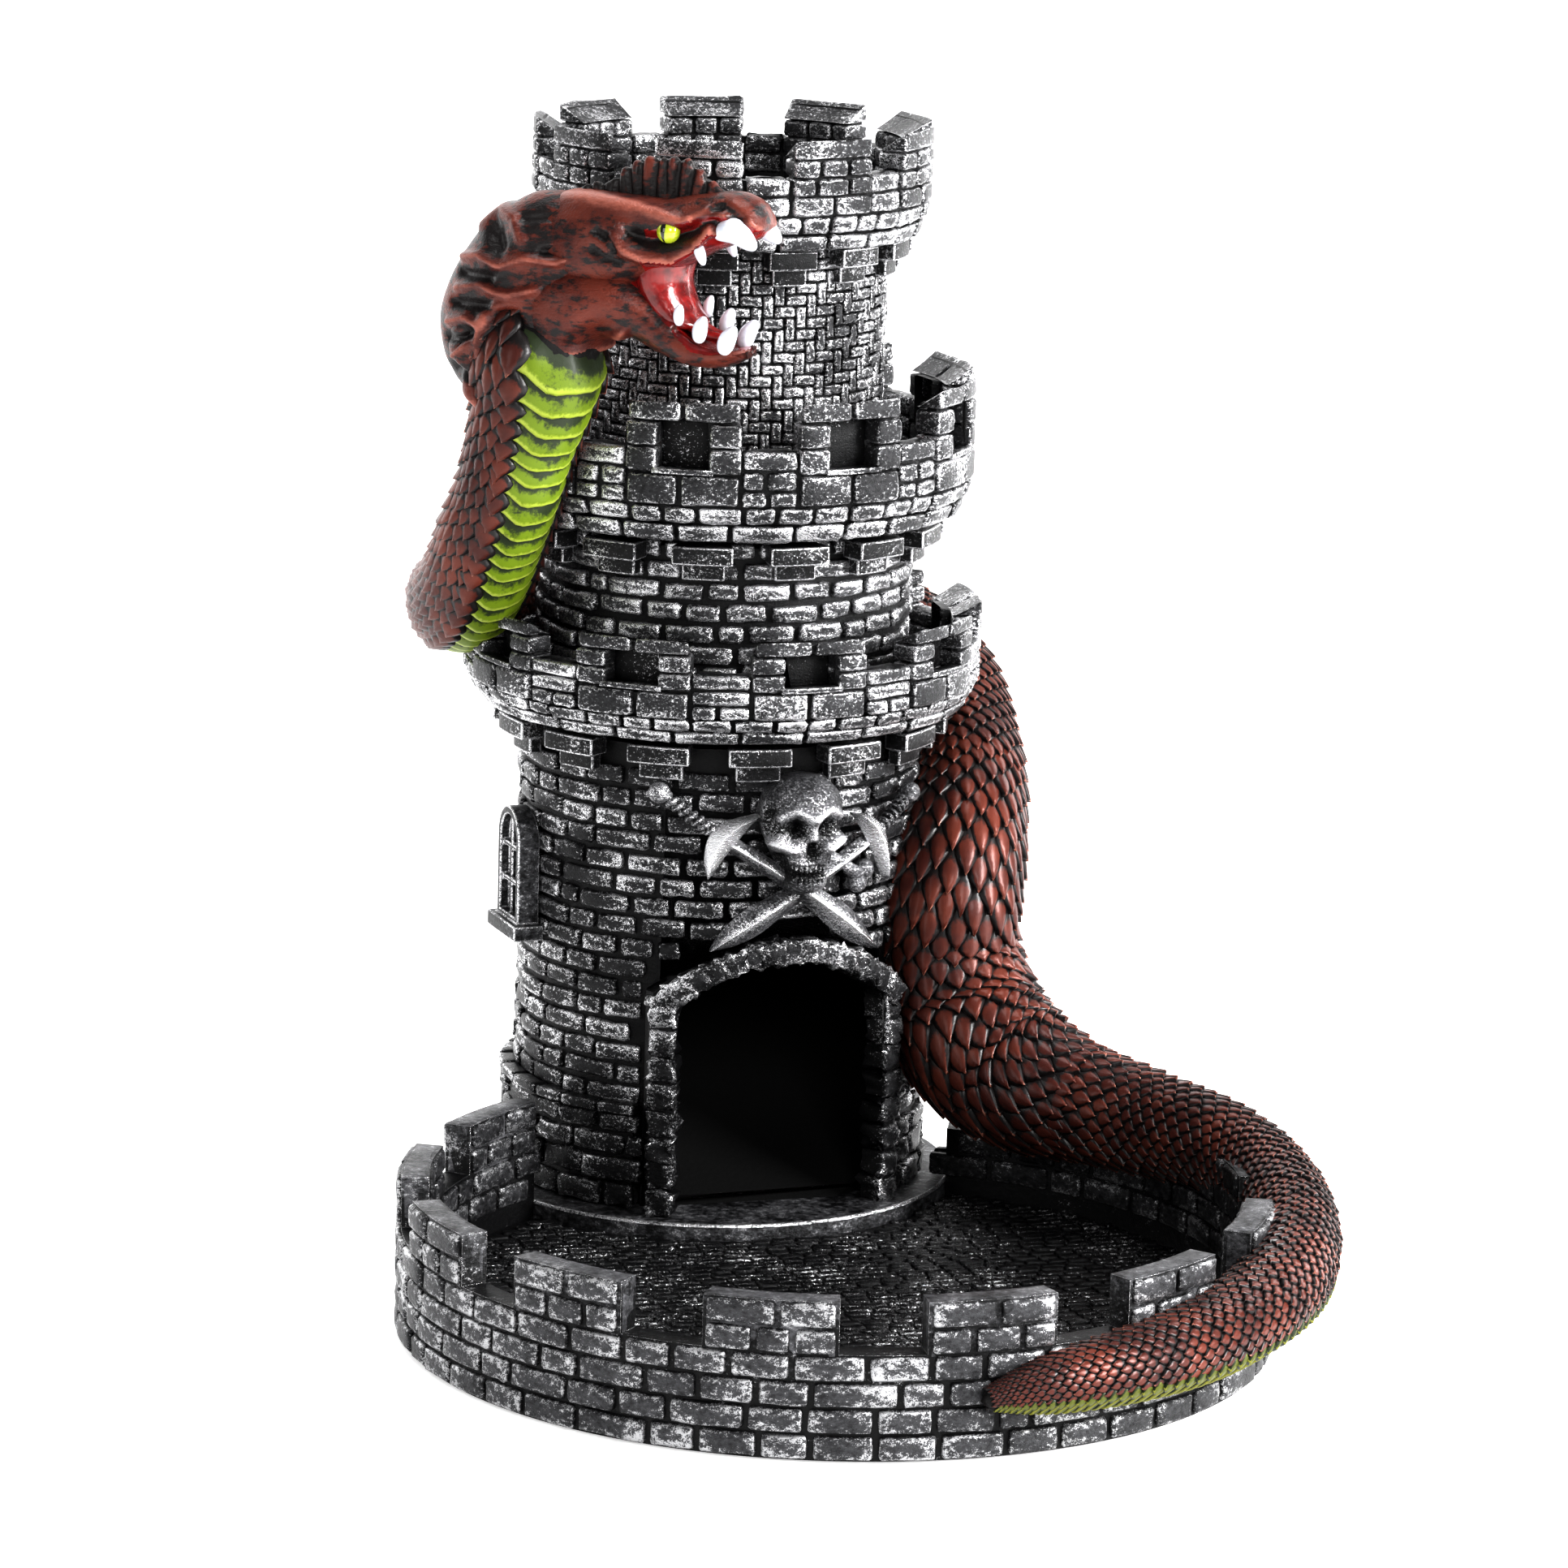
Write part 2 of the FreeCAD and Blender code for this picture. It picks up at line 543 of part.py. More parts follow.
def cobra(castle):
    """All of the cobra's castings, each let over what it touches."""
    pieces = snake_body()
    head, hood, jaw, crest, tongue = snake_head(), snake_hood(), snake_jaw(), snake_crest(), snake_tongue()
    upper, lower = teeth(UPPER_FANGS), teeth(LOWER_TEETH)
    eyes = snake_eyes()
    envelope = cylinder(LOWER_R, 0, LOWER_TOP)
    foot = cylinder(PLINTH_R, 0, PLINTH_TOP).fuse(cylinder(STEP_R, 0, STEP_TOP))
    lower_ring = cylinder(30.8, LOWER_TOP, 75.4).fuse(cylinder(27.2, LOWER_TOP - 4.2, LOWER_TOP))
    upper_ring = cylinder(29.5, MID_TOP, 102.9).fuse(cylinder(26.0, MID_TOP - 4.2, MID_TOP))
    for name, touches in {
        "snake_tail": [castle["tray_wall"]],
        "snake_lower_body": [castle["tray_wall"], foot, envelope, castle["door_surround"]],
        "snake_coil": [envelope, lower_ring],
        "snake_neck": [lower_ring, upper_ring],
    }.items():
        for other in touches:
            pieces[name] = pieces[name].cut(other)
    hood = hood.cut(pieces["snake_neck"]).cut(castle["crown"])
    head = head.cut(hood).cut(castle["crown"])
    jaw = jaw.cut(head).cut(hood)
    crest = crest.cut(head).cut(hood)
    tongue = tongue.cut(jaw).cut(head)
    eyes = [eye.cut(head) for eye in eyes]
    upper = [fang.cut(head) for fang in upper]
    lower = [tooth.cut(jaw).cut(tongue) for tooth in lower]
    pieces.update(
        snake_hood=hood, snake_head=head, snake_jaw=jaw, snake_crest=crest, snake_tongue=tongue,
        snake_eyes=Part.makeCompound(eyes), upper_fangs=Part.makeCompound(upper), lower_teeth=Part.makeCompound(lower),
    )
    return pieces


# ---- assembly -----------------------------------------------------------------------------------
def biggest_solids(shape, keep_above=0.35):
    """The shape's solids without the slivers that letting one piece over another can leave."""
    kept = [s for s in shape.Solids if s.Volume > keep_above]
    return Part.makeCompound(kept) if len(kept) > 1 else kept[0]


def castle_pieces():
    pieces = {
        "tray_floor": tray_floor(), "base_pad": base_pad(), "tray_wall": tray_wall(), "keep_step": keep_step(),
        "lower_drum": lower_drum(), "plinth": plinth(), "door_surround": door_surround(),
        "lower_corbels": lower_corbels(), "lower_gallery": lower_gallery(), "mid_drum": mid_drum(),
        "upper_corbels": upper_corbels(), "upper_gallery": upper_gallery(), "top_drum": top_drum(),
        "crown_corbels": crown_corbels(), "crown": crown(), "upper_baffle": upper_baffle(),
        "lower_baffle": lower_baffle(), "exit_ramp": exit_ramp(),
    }
    for name, azimuth in WINDOW_AZIMUTHS.items():
        pieces[name] = window(azimuth)
    pieces.update(trophy())
    return pieces


def main():
    os.makedirs("parts", exist_ok=True)
    castle = castle_pieces()
    pieces = {**castle, **cobra(castle)}
    for name, shape in pieces.items():
        solid = biggest_solids(shape, 0.05 if "teeth" in name or "fangs" in name or "eyes" in name else 0.35)
        print(name, "valid" if solid.isValid() else "NOT VALID", len(solid.Solids), round(solid.Volume, 1))
        solid.exportStep(os.path.join("parts", name + ".step"))


main()
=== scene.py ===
"""Dice tower: a silvered black castle keep on its walled dice tray, with a red and green cobra wound round them.

Lengths in this script are millimetres and are turned to metres as each mesh is made. An azimuth is measured
round a vertical axis from -Y, where the door looks, towards +X.
"""

import math

import bmesh
import bpy
import numpy as np
from mathutils import Matrix, Vector


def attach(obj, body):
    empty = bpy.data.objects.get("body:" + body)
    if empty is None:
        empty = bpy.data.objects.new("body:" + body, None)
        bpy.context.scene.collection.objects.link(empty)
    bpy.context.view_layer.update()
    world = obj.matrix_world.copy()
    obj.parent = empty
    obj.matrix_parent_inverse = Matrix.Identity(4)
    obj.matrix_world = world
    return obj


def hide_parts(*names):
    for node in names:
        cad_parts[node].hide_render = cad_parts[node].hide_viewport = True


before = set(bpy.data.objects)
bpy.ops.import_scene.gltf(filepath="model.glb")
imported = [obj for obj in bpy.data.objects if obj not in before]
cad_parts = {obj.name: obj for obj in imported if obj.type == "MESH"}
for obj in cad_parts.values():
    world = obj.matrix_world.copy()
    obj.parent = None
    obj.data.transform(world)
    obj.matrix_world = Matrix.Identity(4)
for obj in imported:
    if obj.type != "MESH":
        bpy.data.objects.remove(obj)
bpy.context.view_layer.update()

MM = 0.001
chance = np.random.default_rng(11)

TRAY_R, TRAY_IN, TRAY_CRENEL, TRAY_TOP = 50.0, 45.8, 11.8, 17.6
KEEP_Y = 52.4
TURN = 4.0
DOOR_HALF, DOOR_SPRING, DOOR_RISE, SURROUND = 13.2, 30.0, 6.3, 2.7
STEP_TOP = 5.6


# ---- bench tools --------------------------------------------------------------------------------
def clear_selection():
    if bpy.context.mode != "OBJECT":
        bpy.ops.object.mode_set(mode="OBJECT")
    bpy.ops.object.select_all(action="DESELECT")


def choose(piece):
    clear_selection()
    piece.select_set(True)
    bpy.context.view_layer.objects.active = piece


def edit(piece, kind="VERT", everything=True):
    """Opens a piece in edit mode, with everything or nothing selected."""
    choose(piece)
    bpy.ops.object.mode_set(mode="EDIT")
    bpy.ops.mesh.select_mode(type=kind)
    bpy.ops.mesh.select_all(action="SELECT" if everything else "DESELECT")


def leave_edit():
    bpy.ops.object.mode_set(mode="OBJECT")


def pick_faces(piece, test):
    """Selects the faces of a piece in edit mode whose middle and normal pass a test, in millimetres."""
    cage = bmesh.from_edit_mesh(piece.data)
    for face in cage.faces:
        face.select_set(bool(test(face.calc_center_median() / MM, face.normal)))
    cage.select_flush_mode()
    bmesh.update_edit_mesh(piece.data)


def add_modifier(piece, kind, **settings):
    """Adds a modifier to a piece and applies it."""
    choose(piece)
    modifier = piece.modifiers.new(kind.lower(), kind)
    for key, value in settings.items():
        setattr(modifier, key, value)
    bpy.ops.object.modifier_apply(modifier=modifier.name)


def settle(piece):
    """Puts a piece's place, turn and size into its mesh."""
    choose(piece)
    bpy.ops.object.transform_apply(location=True, rotation=True, scale=True)


def named(piece, name):
    piece.name = name
    piece.data.name = name
    return piece


def points_of(piece):
    """A mesh's points in millimetres."""
    flat = np.empty(len(piece.data.vertices) * 3)
    piece.data.vertices.foreach_get("co", flat)
    return flat.reshape(-1, 3) / MM


def set_points(piece, points):
    piece.data.vertices.foreach_set("co", (np.asarray(points) * MM).ravel())
    piece.data.update()


def mark(piece, name, values):
    """Writes one number per point that the paint can read."""
    layer = piece.data.attributes.get(name) or piece.data.attributes.new(name, "FLOAT", "POINT")
    layer.data.foreach_set("value", np.broadcast_to(values, len(piece.data.vertices)).astype(np.float32).copy())


def deliver(piece, paints, nodes=(), angle=None):
    """Gives a finished piece its paint, its smoothing and its place on the CAD model."""
    numbers = np.empty(len(piece.data.polygons), dtype=np.int32)
    piece.data.polygons.foreach_get("material_index", numbers)
    piece.data.materials.clear()
    for paint in paints:
        piece.data.materials.append(paint)
    piece.data.polygons.foreach_set("material_index", np.minimum(numbers, len(paints) - 1))
    choose(piece)
    if angle is None:
        bpy.ops.object.shade_smooth()
    else:
        bpy.ops.object.shade_smooth_by_angle(angle=math.radians(angle))
    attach(piece, "root")
    if nodes:
        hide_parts(*nodes)
    return piece


def join(pieces, name):
    clear_selection()
    for piece in pieces:
        piece.select_set(True)
    bpy.context.view_layer.objects.active = pieces[0]
    if len(pieces) > 1:
        bpy.ops.object.join()
    return named(pieces[0], name)


def casting(node, name, inset=0.0, bevel=0.0):
    """A welded copy of a CAD casting, drawn in all over by inset and with its sharp edges rounded."""
    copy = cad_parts[node].copy()
    copy.data = copy.data.copy()
    copy.parent = None
    bpy.context.scene.collection.objects.link(copy)
    copy.hide_set(False)
    named(copy, name)
    edit(copy)
    bpy.ops.mesh.remove_doubles(threshold=0.00001)
    bpy.ops.mesh.dissolve_limited(angle_limit=math.radians(0.8))
    if inset:
        bpy.ops.mesh.normals_make_consistent(inside=False)
        bpy.ops.transform.shrink_fatten(value=-inset * MM, use_even_offset=True)
    leave_edit()
    if bevel:
        copy.data.materials.clear()
        for _ in range(2):
            copy.data.materials.append(None)
        add_modifier(
            copy, "BEVEL", width=bevel * MM, segments=2, limit_method="ANGLE", angle_limit=math.radians(35), material=1
        )
    return copy


def polar(azimuth, radius, z, axis_y=KEEP_Y):
    a = np.radians(azimuth)
    return np.stack(np.broadcast_arrays(radius * np.sin(a), axis_y - radius * np.cos(a), z), axis=-1)


# ---- paint --------------------------------------------------------------------------------------
class Socket:
    """A node's output that can be used in sums."""

    def __init__(self, paint, output):
        self.paint, self.output = paint, output

    def sum(self, operation, other, third=None):
        values = {0: self, 1: other}
        if third is not None:
            values[2] = third
        return self.paint.node("Math", {"operation": operation}, values)

    def __add__(self, other):
        return self.sum("ADD", other)

    def __sub__(self, other):
        return self.sum("SUBTRACT", other)

    def __rsub__(self, other):
        return self.paint.node("Math", {"operation": "SUBTRACT"}, {0: other, 1: self})

    def __mul__(self, other):
        return self.sum("MULTIPLY", other)

    def __truediv__(self, other):
        return self.sum("DIVIDE", other)

    def __pow__(self, other):
        return self.sum("POWER", other)

    __radd__ = __add__
    __rmul__ = __mul__

    def larger(self, other):
        return self.sum("MAXIMUM", other)

    def smaller(self, other):
        return self.sum("MINIMUM", other)

    def between(self, low, high):
        """0 below low, 1 above high, and smooth from one to the other."""
        settings = {"interpolation_type": "SMOOTHSTEP"}
        return self.paint.node("MapRange", settings, {"Value": self, "From Min": low, "From Max": high})


class Paint:
    """A material while it is being mixed."""

    def __init__(self, name):
        self.material = bpy.data.materials.new(name)
        self.material.use_nodes = True
        self.tree = self.material.node_tree
        self.tree.nodes.clear()

    def node(self, kind, settings=None, values=None, out=0):
        made = self.tree.nodes.new("ShaderNode" + kind)
        for key, value in (settings or {}).items():
            setattr(made, key, value)
        for key, value in (values or {}).items():
            if isinstance(value, Socket):
                self.tree.links.new(value.output, made.inputs[key])
            else:
                made.inputs[key].default_value = value
        return Socket(self, made.outputs[out])

    def place(self):
        return self.node("TexCoord", out="Object")

    def mark(self, name):
        return self.node("Attribute", {"attribute_name": name}, out="Fac")

    def noise(self, size, detail=2.0, roughness=0.5, stretch=None):
        """Cloudy noise whose lumps are about size millimetres across."""
        place = self.place()
        if stretch:
            place = self.node("VectorMath", {"operation": "MULTIPLY"}, {0: place, 1: stretch})
        return self.node("TexNoise", None, {"Vector": place, "Scale": 1000.0 / size, "Detail": detail, "Roughness": roughness})

    def blend(self, amount, first, second):
        """One colour over another."""
        values = {"Factor": amount, "A": first, "B": second}
        made = self.tree.nodes.new("ShaderNodeMix")
        made.data_type = "RGBA"
        names = {"Factor": made.inputs[0], "A": made.inputs[6], "B": made.inputs[7]}
        for key, value in values.items():
            if isinstance(value, Socket):
                self.tree.links.new(value.output, names[key])
            else:
                names[key].default_value = value if key == "Factor" else (*value, 1.0)
        return Socket(self, made.outputs[2])

    def surface(self, height=None, depth=0.1, strength=1.0, **values):
        """The finish: Principled values by name, and a bump of height that is depth millimetres deep."""
        names = {"color": "Base Color", "rough": "Roughness", "metal": "Metallic", "coat": "Coat Weight",
                 "coat_rough": "Coat Roughness", "specular": "Specular IOR Level", "glow": "Emission Strength"}
        filled = {}
        for key, value in values.items():
            filled[names[key]] = (*value, 1.0) if isinstance(value, tuple) else value
        if height is not None:
            bump = {"Height": height, "Strength": strength, "Distance": depth * MM}
            filled["Normal"] = self.node("Bump", None, bump)
        if "glow" in values:
            filled["Emission Color"] = (1.0, 1.0, 1.0, 1.0)
        shader = self.node("BsdfPrincipled", None, filled)
        self.node_out(shader)
        return self.material

    def node_out(self, shader):
        output = self.tree.nodes.new("ShaderNodeOutputMaterial")
        self.tree.links.new(shader.output, output.inputs["Surface"])


def silvered(name, cover=0.0, bright=0.72, body=0.035, grain=0.5, gloss=0.22):
    """Black resin with silver dragged over it: a thin grey film on the faces and bright metal on the arrises."""
    paint = Paint(name)
    relief, rim = paint.mark("relief"), paint.mark("rim")
    patches = paint.noise(6.0, 2.0)
    drag = paint.noise(grain, 4.0, 0.72, (1.0, 1.0, 1.5))
    specks = paint.noise(0.15, 2.0, 0.6)
    wander = (patches - 0.5) * 1.1 + (drag - 0.5) * 1.9
    film = (relief * 0.8 + wander * 0.6 + cover * 0.6).between(0.35, 1.0)
    glint = (relief * 0.14 + rim * 0.52 + wander + (specks - 0.5) * 1.2 + cover).between(0.44, 0.74)
    grey = paint.blend(film, (0.003, 0.003, 0.0034), (body, body, body * 1.06))
    color = paint.blend(glint, grey, (bright, bright, bright * 1.02))
    return paint.surface(
        drag * 0.7 + specks * 0.3, 0.2, 0.9, color=color, metal=(film * 0.55).larger(glint * 0.96),
        rough=gloss + 0.10 * (1.0 - glint) + (specks - 0.5) * 0.2, specular=0.2,
    )


def mix_paints():
    paints = {
        "stone": silvered("silvered_stone"),
        "bold": silvered("silvered_stone_bold", cover=0.10, body=0.05),
        "weave": silvered("silvered_weave", cover=0.10, grain=0.45, body=0.045),
        "joint": silvered("black_joint", cover=-0.3, body=0.008),
        "edge": silvered("silvered_edge", cover=0.42, grain=0.4, body=0.10),
        "slab": silvered("grey_slab", cover=-0.05, bright=0.42, body=0.17, grain=0.9, gloss=0.30),
        "tray": silvered("tray_floor_black", cover=-0.22, bright=0.45, body=0.010, gloss=0.12),
        "tray_stone": silvered("tray_wall_stone", cover=0.0, bright=0.50, body=0.075, grain=0.8, gloss=0.30),
        "relief": silvered("silvered_relief", cover=0.32, bright=0.78, body=0.15, grain=0.35, gloss=0.2),
    }

    paint = Paint("inner_black")
    paints["inner"] = paint.surface(paint.noise(0.6, 3.0), 0.08, color=(0.0015, 0.0015, 0.0015), rough=0.8, specular=0.15)

    paint = Paint("black_felt")
    fluff = paint.noise(0.25, 4.0, 0.7)
    paints["felt"] = paint.surface(fluff, 0.2, color=paint.blend(fluff, (0.006, 0.006, 0.006), (0.03, 0.03, 0.03)), rough=0.95)

    paint = Paint("red_scales")
    relief, rim = paint.mark("relief"), paint.mark("rim")
    cloud, grain = paint.noise(6.0, 3.0), paint.noise(0.35, 3.0, 0.6)
    shown = (relief + (cloud - 0.5) * 0.7 + (grain - 0.5) * 0.6).between(0.42, 0.80)
    deep = paint.blend(cloud.between(0.35, 0.7), (0.062, 0.012, 0.008), (0.140, 0.031, 0.017))
    # The lighter red mixed in where the rim mark is high, near each scale's free tip, is a painted highlight.
    lit = paint.blend((rim * 0.8 + (grain - 0.5) * 0.8).between(0.55, 1.1), deep, (0.46, 0.20, 0.14))
    color = paint.blend(shown, (0.008, 0.006, 0.006), lit)
    paints["scales"] = paint.surface(
        grain, 0.05, 0.5, color=color, metal=shown * 0.2, rough=0.34 + 0.14 * grain, coat=0.12, coat_rough=0.15, specular=0.3
    )

    # The second green is the belly green darkened for the tail's underside by the floor: painted shade.
    for key, low, high in (("belly", (0.13, 0.19, 0.006), (0.36, 0.43, 0.06)), ("shaded_olive", (0.075, 0.085, 0.005), (0.20, 0.20, 0.02))):
        paint = Paint("green_" + key)
        relief, rim = paint.mark("relief"), paint.mark("rim")
        cloud, grain = paint.noise(3.2, 3.0, 0.6), paint.noise(0.5, 4.0, 0.65)
        shown = (relief + (cloud - 0.5) * 1.7 + (grain - 0.5) * 1.0).between(0.30, 0.74)
        # The lighter green where the rim mark is high is a painted highlight on the plates' proud lips.
        lime = paint.blend((rim + (grain - 0.5)).between(0.35, 0.95), low, high)
        color = paint.blend(shown, (0.016, 0.026, 0.007), lime)
        paints[key] = paint.surface(grain, 0.06, 0.5, color=color, rough=0.4 + 0.2 * grain, coat=0.1, coat_rough=0.2, specular=0.3)

    paint = Paint("snake_under_black")
    grain = paint.noise(0.5, 3.0)
    paints["under"] = paint.surface(grain, 0.06, color=(0.004, 0.003, 0.003), rough=0.45, specular=0.2)

    paint = Paint("red_skin")
    relief = paint.mark("relief")
    cloud, streak, grain = paint.noise(3.4, 3.0, 0.55), paint.noise(1.3, 3.0, 0.6, (1.0, 1.0, 2.4)), paint.noise(0.3, 3.0)
    wash = (relief + (streak - 0.5) * 2.1 + (cloud - 0.5) * 1.5).between(0.30, 0.72)
    brick = paint.blend(cloud.between(0.3, 0.7), (0.062, 0.010, 0.007), (0.135, 0.027, 0.015))
    # The lighter brick where the relief mark is high, on lifted ridges, is a painted highlight.
    lit = paint.blend((relief + (streak - 0.5) * 0.6).between(1.0, 1.6), brick, (0.36, 0.12, 0.085))
    color = paint.blend(wash, (0.010, 0.007, 0.007), lit)
    paints["skin"] = paint.surface(
        grain * 0.35 + streak * 0.65, 0.30, 0.7, color=color, rough=0.36 + 0.12 * grain, coat=0.12, coat_rough=0.2, specular=0.3
    )

    paint = Paint("mouth_red")
    wet = paint.noise(1.4, 2.0)
    color = paint.blend(wet.between(0.3, 0.7), (0.08, 0.002, 0.002), (0.22, 0.007, 0.006))
    paints["mouth"] = paint.surface(wet, 0.25, 0.6, color=color, rough=0.24, coat=0.4, coat_rough=0.08)

    paint = Paint("tooth_white")
    stain = paint.noise(0.9, 3.0)
    color = paint.blend(stain.between(0.4, 0.8), (0.80, 0.83, 0.90), (0.62, 0.66, 0.74))
    paints["tooth"] = paint.surface(stain, 0.04, 0.4, color=color, rough=0.22, coat=0.4, coat_rough=0.1)

    paint = Paint("eye_yellow_green")
    slit, iris = paint.mark("slit"), paint.noise(0.35, 3.0)
    yellow = paint.blend(iris, (0.30, 0.42, 0.012), (0.60, 0.62, 0.05))
    paints["eye"] = paint.surface(color=paint.blend(slit.between(0.35, 0.65), yellow, (0.004, 0.004, 0.003)), rough=0.12, coat=1.0, coat_rough=0.03)
    return paints


PAINTS = mix_paints()


# ---- stones -------------------------------------------------------------------------------------
class Pattern:
    """A small shape modelled once, held as points, faces and marks to be copied with."""

    def __init__(self, piece, marks):
        self.points = points_of(piece)
        self.faces = [tuple(face.vertices) for face in piece.data.polygons]
        self.marks = {name: rule(self.points) for name, rule in marks.items()}
        bpy.data.objects.remove(piece)


class Heap:
    """Copies of patterns gathered into one mesh."""

    def __init__(self):
        self.points, self.faces, self.marks, self.count = [], [], {"relief": [], "rim": []}, 0

    def add(self, pattern, points, fade=1.0, flip=False):
        self.points.append(points)
        start = self.count
        for face in pattern.faces:
            ring = [start + i for i in face]
            self.faces.append(ring[::-1] if flip else ring)
        for name, values in self.marks.items():
            values.append(pattern.marks[name] * fade)
        self.count += len(points)

    def piece(self, name):
        mesh = bpy.data.meshes.new(name)
        mesh.from_pydata((np.concatenate(self.points) * MM).tolist(), [], self.faces)
        made = bpy.data.objects.new(name, mesh)
        bpy.context.scene.collection.objects.link(made)
        for mark_name, values in self.marks.items():
            mark(made, mark_name, np.concatenate(values))
        return made


STONE_SIZE = (6.0, 2.0, 2.4)
STONE_EDGE = 0.62


def model_stone(closed):
    """A dressed stone with rounded arrises, its face towards -Y. Left open at the back unless it is closed."""
    clear_selection()
    bpy.ops.mesh.primitive_cube_add(size=1, location=(0, 0, 0))
    stone = bpy.context.object
    stone.scale = [side * MM for side in STONE_SIZE]
    settle(stone)
    edit(stone, "FACE")
    if not closed:
        pick_faces(stone, lambda middle, normal: normal.y > 0.9)
        bpy.ops.mesh.delete(type="FACE")
    bpy.ops.mesh.select_all(action="SELECT")
    bpy.ops.mesh.bevel(offset=0.42 * MM, segments=2, profile=0.5)
    for x in (-1.0, 1.0):
        bpy.ops.mesh.select_all(action="SELECT")
        bpy.ops.mesh.bisect(plane_co=(x * MM, 0, 0), plane_no=(1, 0, 0))
    bpy.ops.mesh.select_all(action="SELECT")
    bpy.ops.mesh.bisect(plane_co=(0, 0, 0), plane_no=(0, 0, 1))
    leave_edit()
    half_x, half_y, half_z = (side / 2 for side in STONE_SIZE)

    def relief(p):
        return np.clip(1.15 - (p[:, 1] + half_y) / 0.9, 0.0, 1.0)

    def rim(p):
        near = np.minimum(half_x - np.abs(p[:, 0]), half_z - np.abs(p[:, 2]))
        return np.clip(1.0 - np.abs(near - 0.22) / 0.5, 0.0, 1.0) * (p[:, 1] < -half_y + 0.5)

    def rim_all(p):
        gaps = np.sort(np.stack([half_x - np.abs(p[:, 0]), half_y - np.abs(p[:, 1]), half_z - np.abs(p[:, 2])]), axis=0)
        return np.clip(1.0 - gaps[1] / 0.55, 0.0, 1.0)

    if closed:
        return Pattern(stone, {"relief": lambda p: np.full(len(p), 0.86), "rim": rim_all})
    return Pattern(stone, {"relief": relief, "rim": rim})


STONE = model_stone(False)
BLOCK = model_stone(True)


def cut_to_size(pattern, length, depth, height, edge=1.0):
    """A pattern's points stretched to a size between its arrises, which keep their own size."""
    sizes = (length, depth, height)
    keep = min(1.0, min(length, height) / 1.9) * edge
    points = pattern.points.copy()
    for axis in range(3):
        half, want = STONE_SIZE[axis] / 2, sizes[axis] / 2
        p = points[:, axis]
        from_end = half - np.abs(p)
        outer = want - from_end * keep
        inner = np.abs(p) * max(want - STONE_EDGE * keep, 0.01) / (half - STONE_EDGE)
        points[:, axis] = np.sign(p) * np.where(from_end < STONE_EDGE, outer, inner)
    return points


def rough(points, amount):
    """Hammers a stone: its corners wander and its faces dip."""
    return points + chance.normal(0.0, amount, points.shape)


def lay(heap, first, last, low, high, face, depth=1.9, axis_y=KEEP_Y, rake=0.0, hammer=0.07, inward=False, fade=1.0):
    """Lays one stone on a round wall between two azimuths and two heights. Rake is how much the face leans out."""
    middle = math.radians((first + last) / 2)
    length = math.radians(last - first) * face
    points = rough(cut_to_size(STONE, length, depth, high - low), hammer)
    tilt = chance.normal(0.0, 0.012)
    x, y, z = points.T
    x, z = x + z * tilt, z - x * tilt
    z = z + (low + high) / 2
    out = -(y + depth / 2)
    lean = rake * (z - low)
    if inward:
        heap.add(STONE, polar(np.degrees(middle + x / face), face - out + lean, z, axis_y), fade, flip=True)
    else:
        heap.add(STONE, polar(np.degrees(middle + x / face), face + out + lean, z, axis_y), fade)


def lay_through(heap, first, last, low, high, inner, outer, drop=0.0, axis_y=KEEP_Y, hammer=0.05, fade=1.0):
    """Lays one stone through the whole thickness of a wall; its top falls by drop to the inside."""
    middle, face = math.radians((first + last) / 2), (inner + outer) / 2
    points = rough(cut_to_size(BLOCK, math.radians(last - first) * face, outer - inner, high - low), hammer)
    x, y, z = points.T
    upper = np.clip((z + (high - low) / 2) / (high - low), 0, 1)
    inside = np.clip((y + (outer - inner) / 2) / (outer - inner), 0, 1)
    z = z + (low + high) / 2 - drop * upper * np.clip(inside * 1.5, 0, 1)
    heap.add(BLOCK, polar(np.degrees(middle + x / face), face - y, z, axis_y), fade)


def spaced(first, last, count, gap, wander=0.0):
    """Splits an arc into stones with a gap between them: their first and last azimuths."""
    ends = np.linspace(first, last, count + 1)
    ends[1:-1] += chance.normal(0.0, wander, count - 1) if count > 1 else 0.0
    return [(a + gap / 2, b - gap / 2) for a, b in zip(ends[:-1], ends[1:])]


def without(first, last, blocked):
    """What is left of an arc outside a blocked arc."""
    low, high = blocked
    if last <= low or first >= high:
        return [(first, last)]
    return [(a, b) for a, b in ((first, min(last, low)), (max(first, high), last)) if b - a > 2.5]


def door_arc(z, radius):
    """The arc that the door and its surround take up at a height."""
    half, spring = DOOR_HALF + SURROUND, DOOR_SPRING + SURROUND
    bow = (half * half + DOOR_RISE * DOOR_RISE) / (2 * DOOR_RISE)
    if z > spring + DOOR_RISE:
        return (400.0, 400.0)
    wide = half if z < spring else math.sqrt(max(0.0, bow * bow - (z - spring - DOOR_RISE + bow) ** 2))
    wide = math.degrees(math.asin(min(1.0, wide / radius)))
    return (TURN - wide, TURN + wide)


def drum_courses(heap, radius, bottom, top, courses, stones, blocked=None, hammer=0.07, joint=0.74):
    """Running bond round a drum, with the courses a little wavy."""
    pitch = (top - bottom) / courses
    for course in range(courses):
        low = bottom + course * pitch
        start = -180.0 + (360.0 / stones) * (0.5 * (course % 2) + chance.uniform(-0.12, 0.12))
        gap = math.degrees(joint / radius)
        for first, last in spaced(start, start + 360.0, stones, gap, 0.13 * 360.0 / stones):
            first, last = ((first + 180) % 360) - 180, ((last + 180) % 360) - 180
            if last < first:
                last += 360.0
            for a, b in without(first, last, blocked(low) if blocked else (400.0, 400.0)):
                lift = chance.normal(0.0, 0.07)
                face = radius + chance.normal(0.0, 0.09)
                lay(heap, a, b, low + joint * 0.38 + lift, low + pitch - joint * 0.38 + lift, face, hammer=hammer)


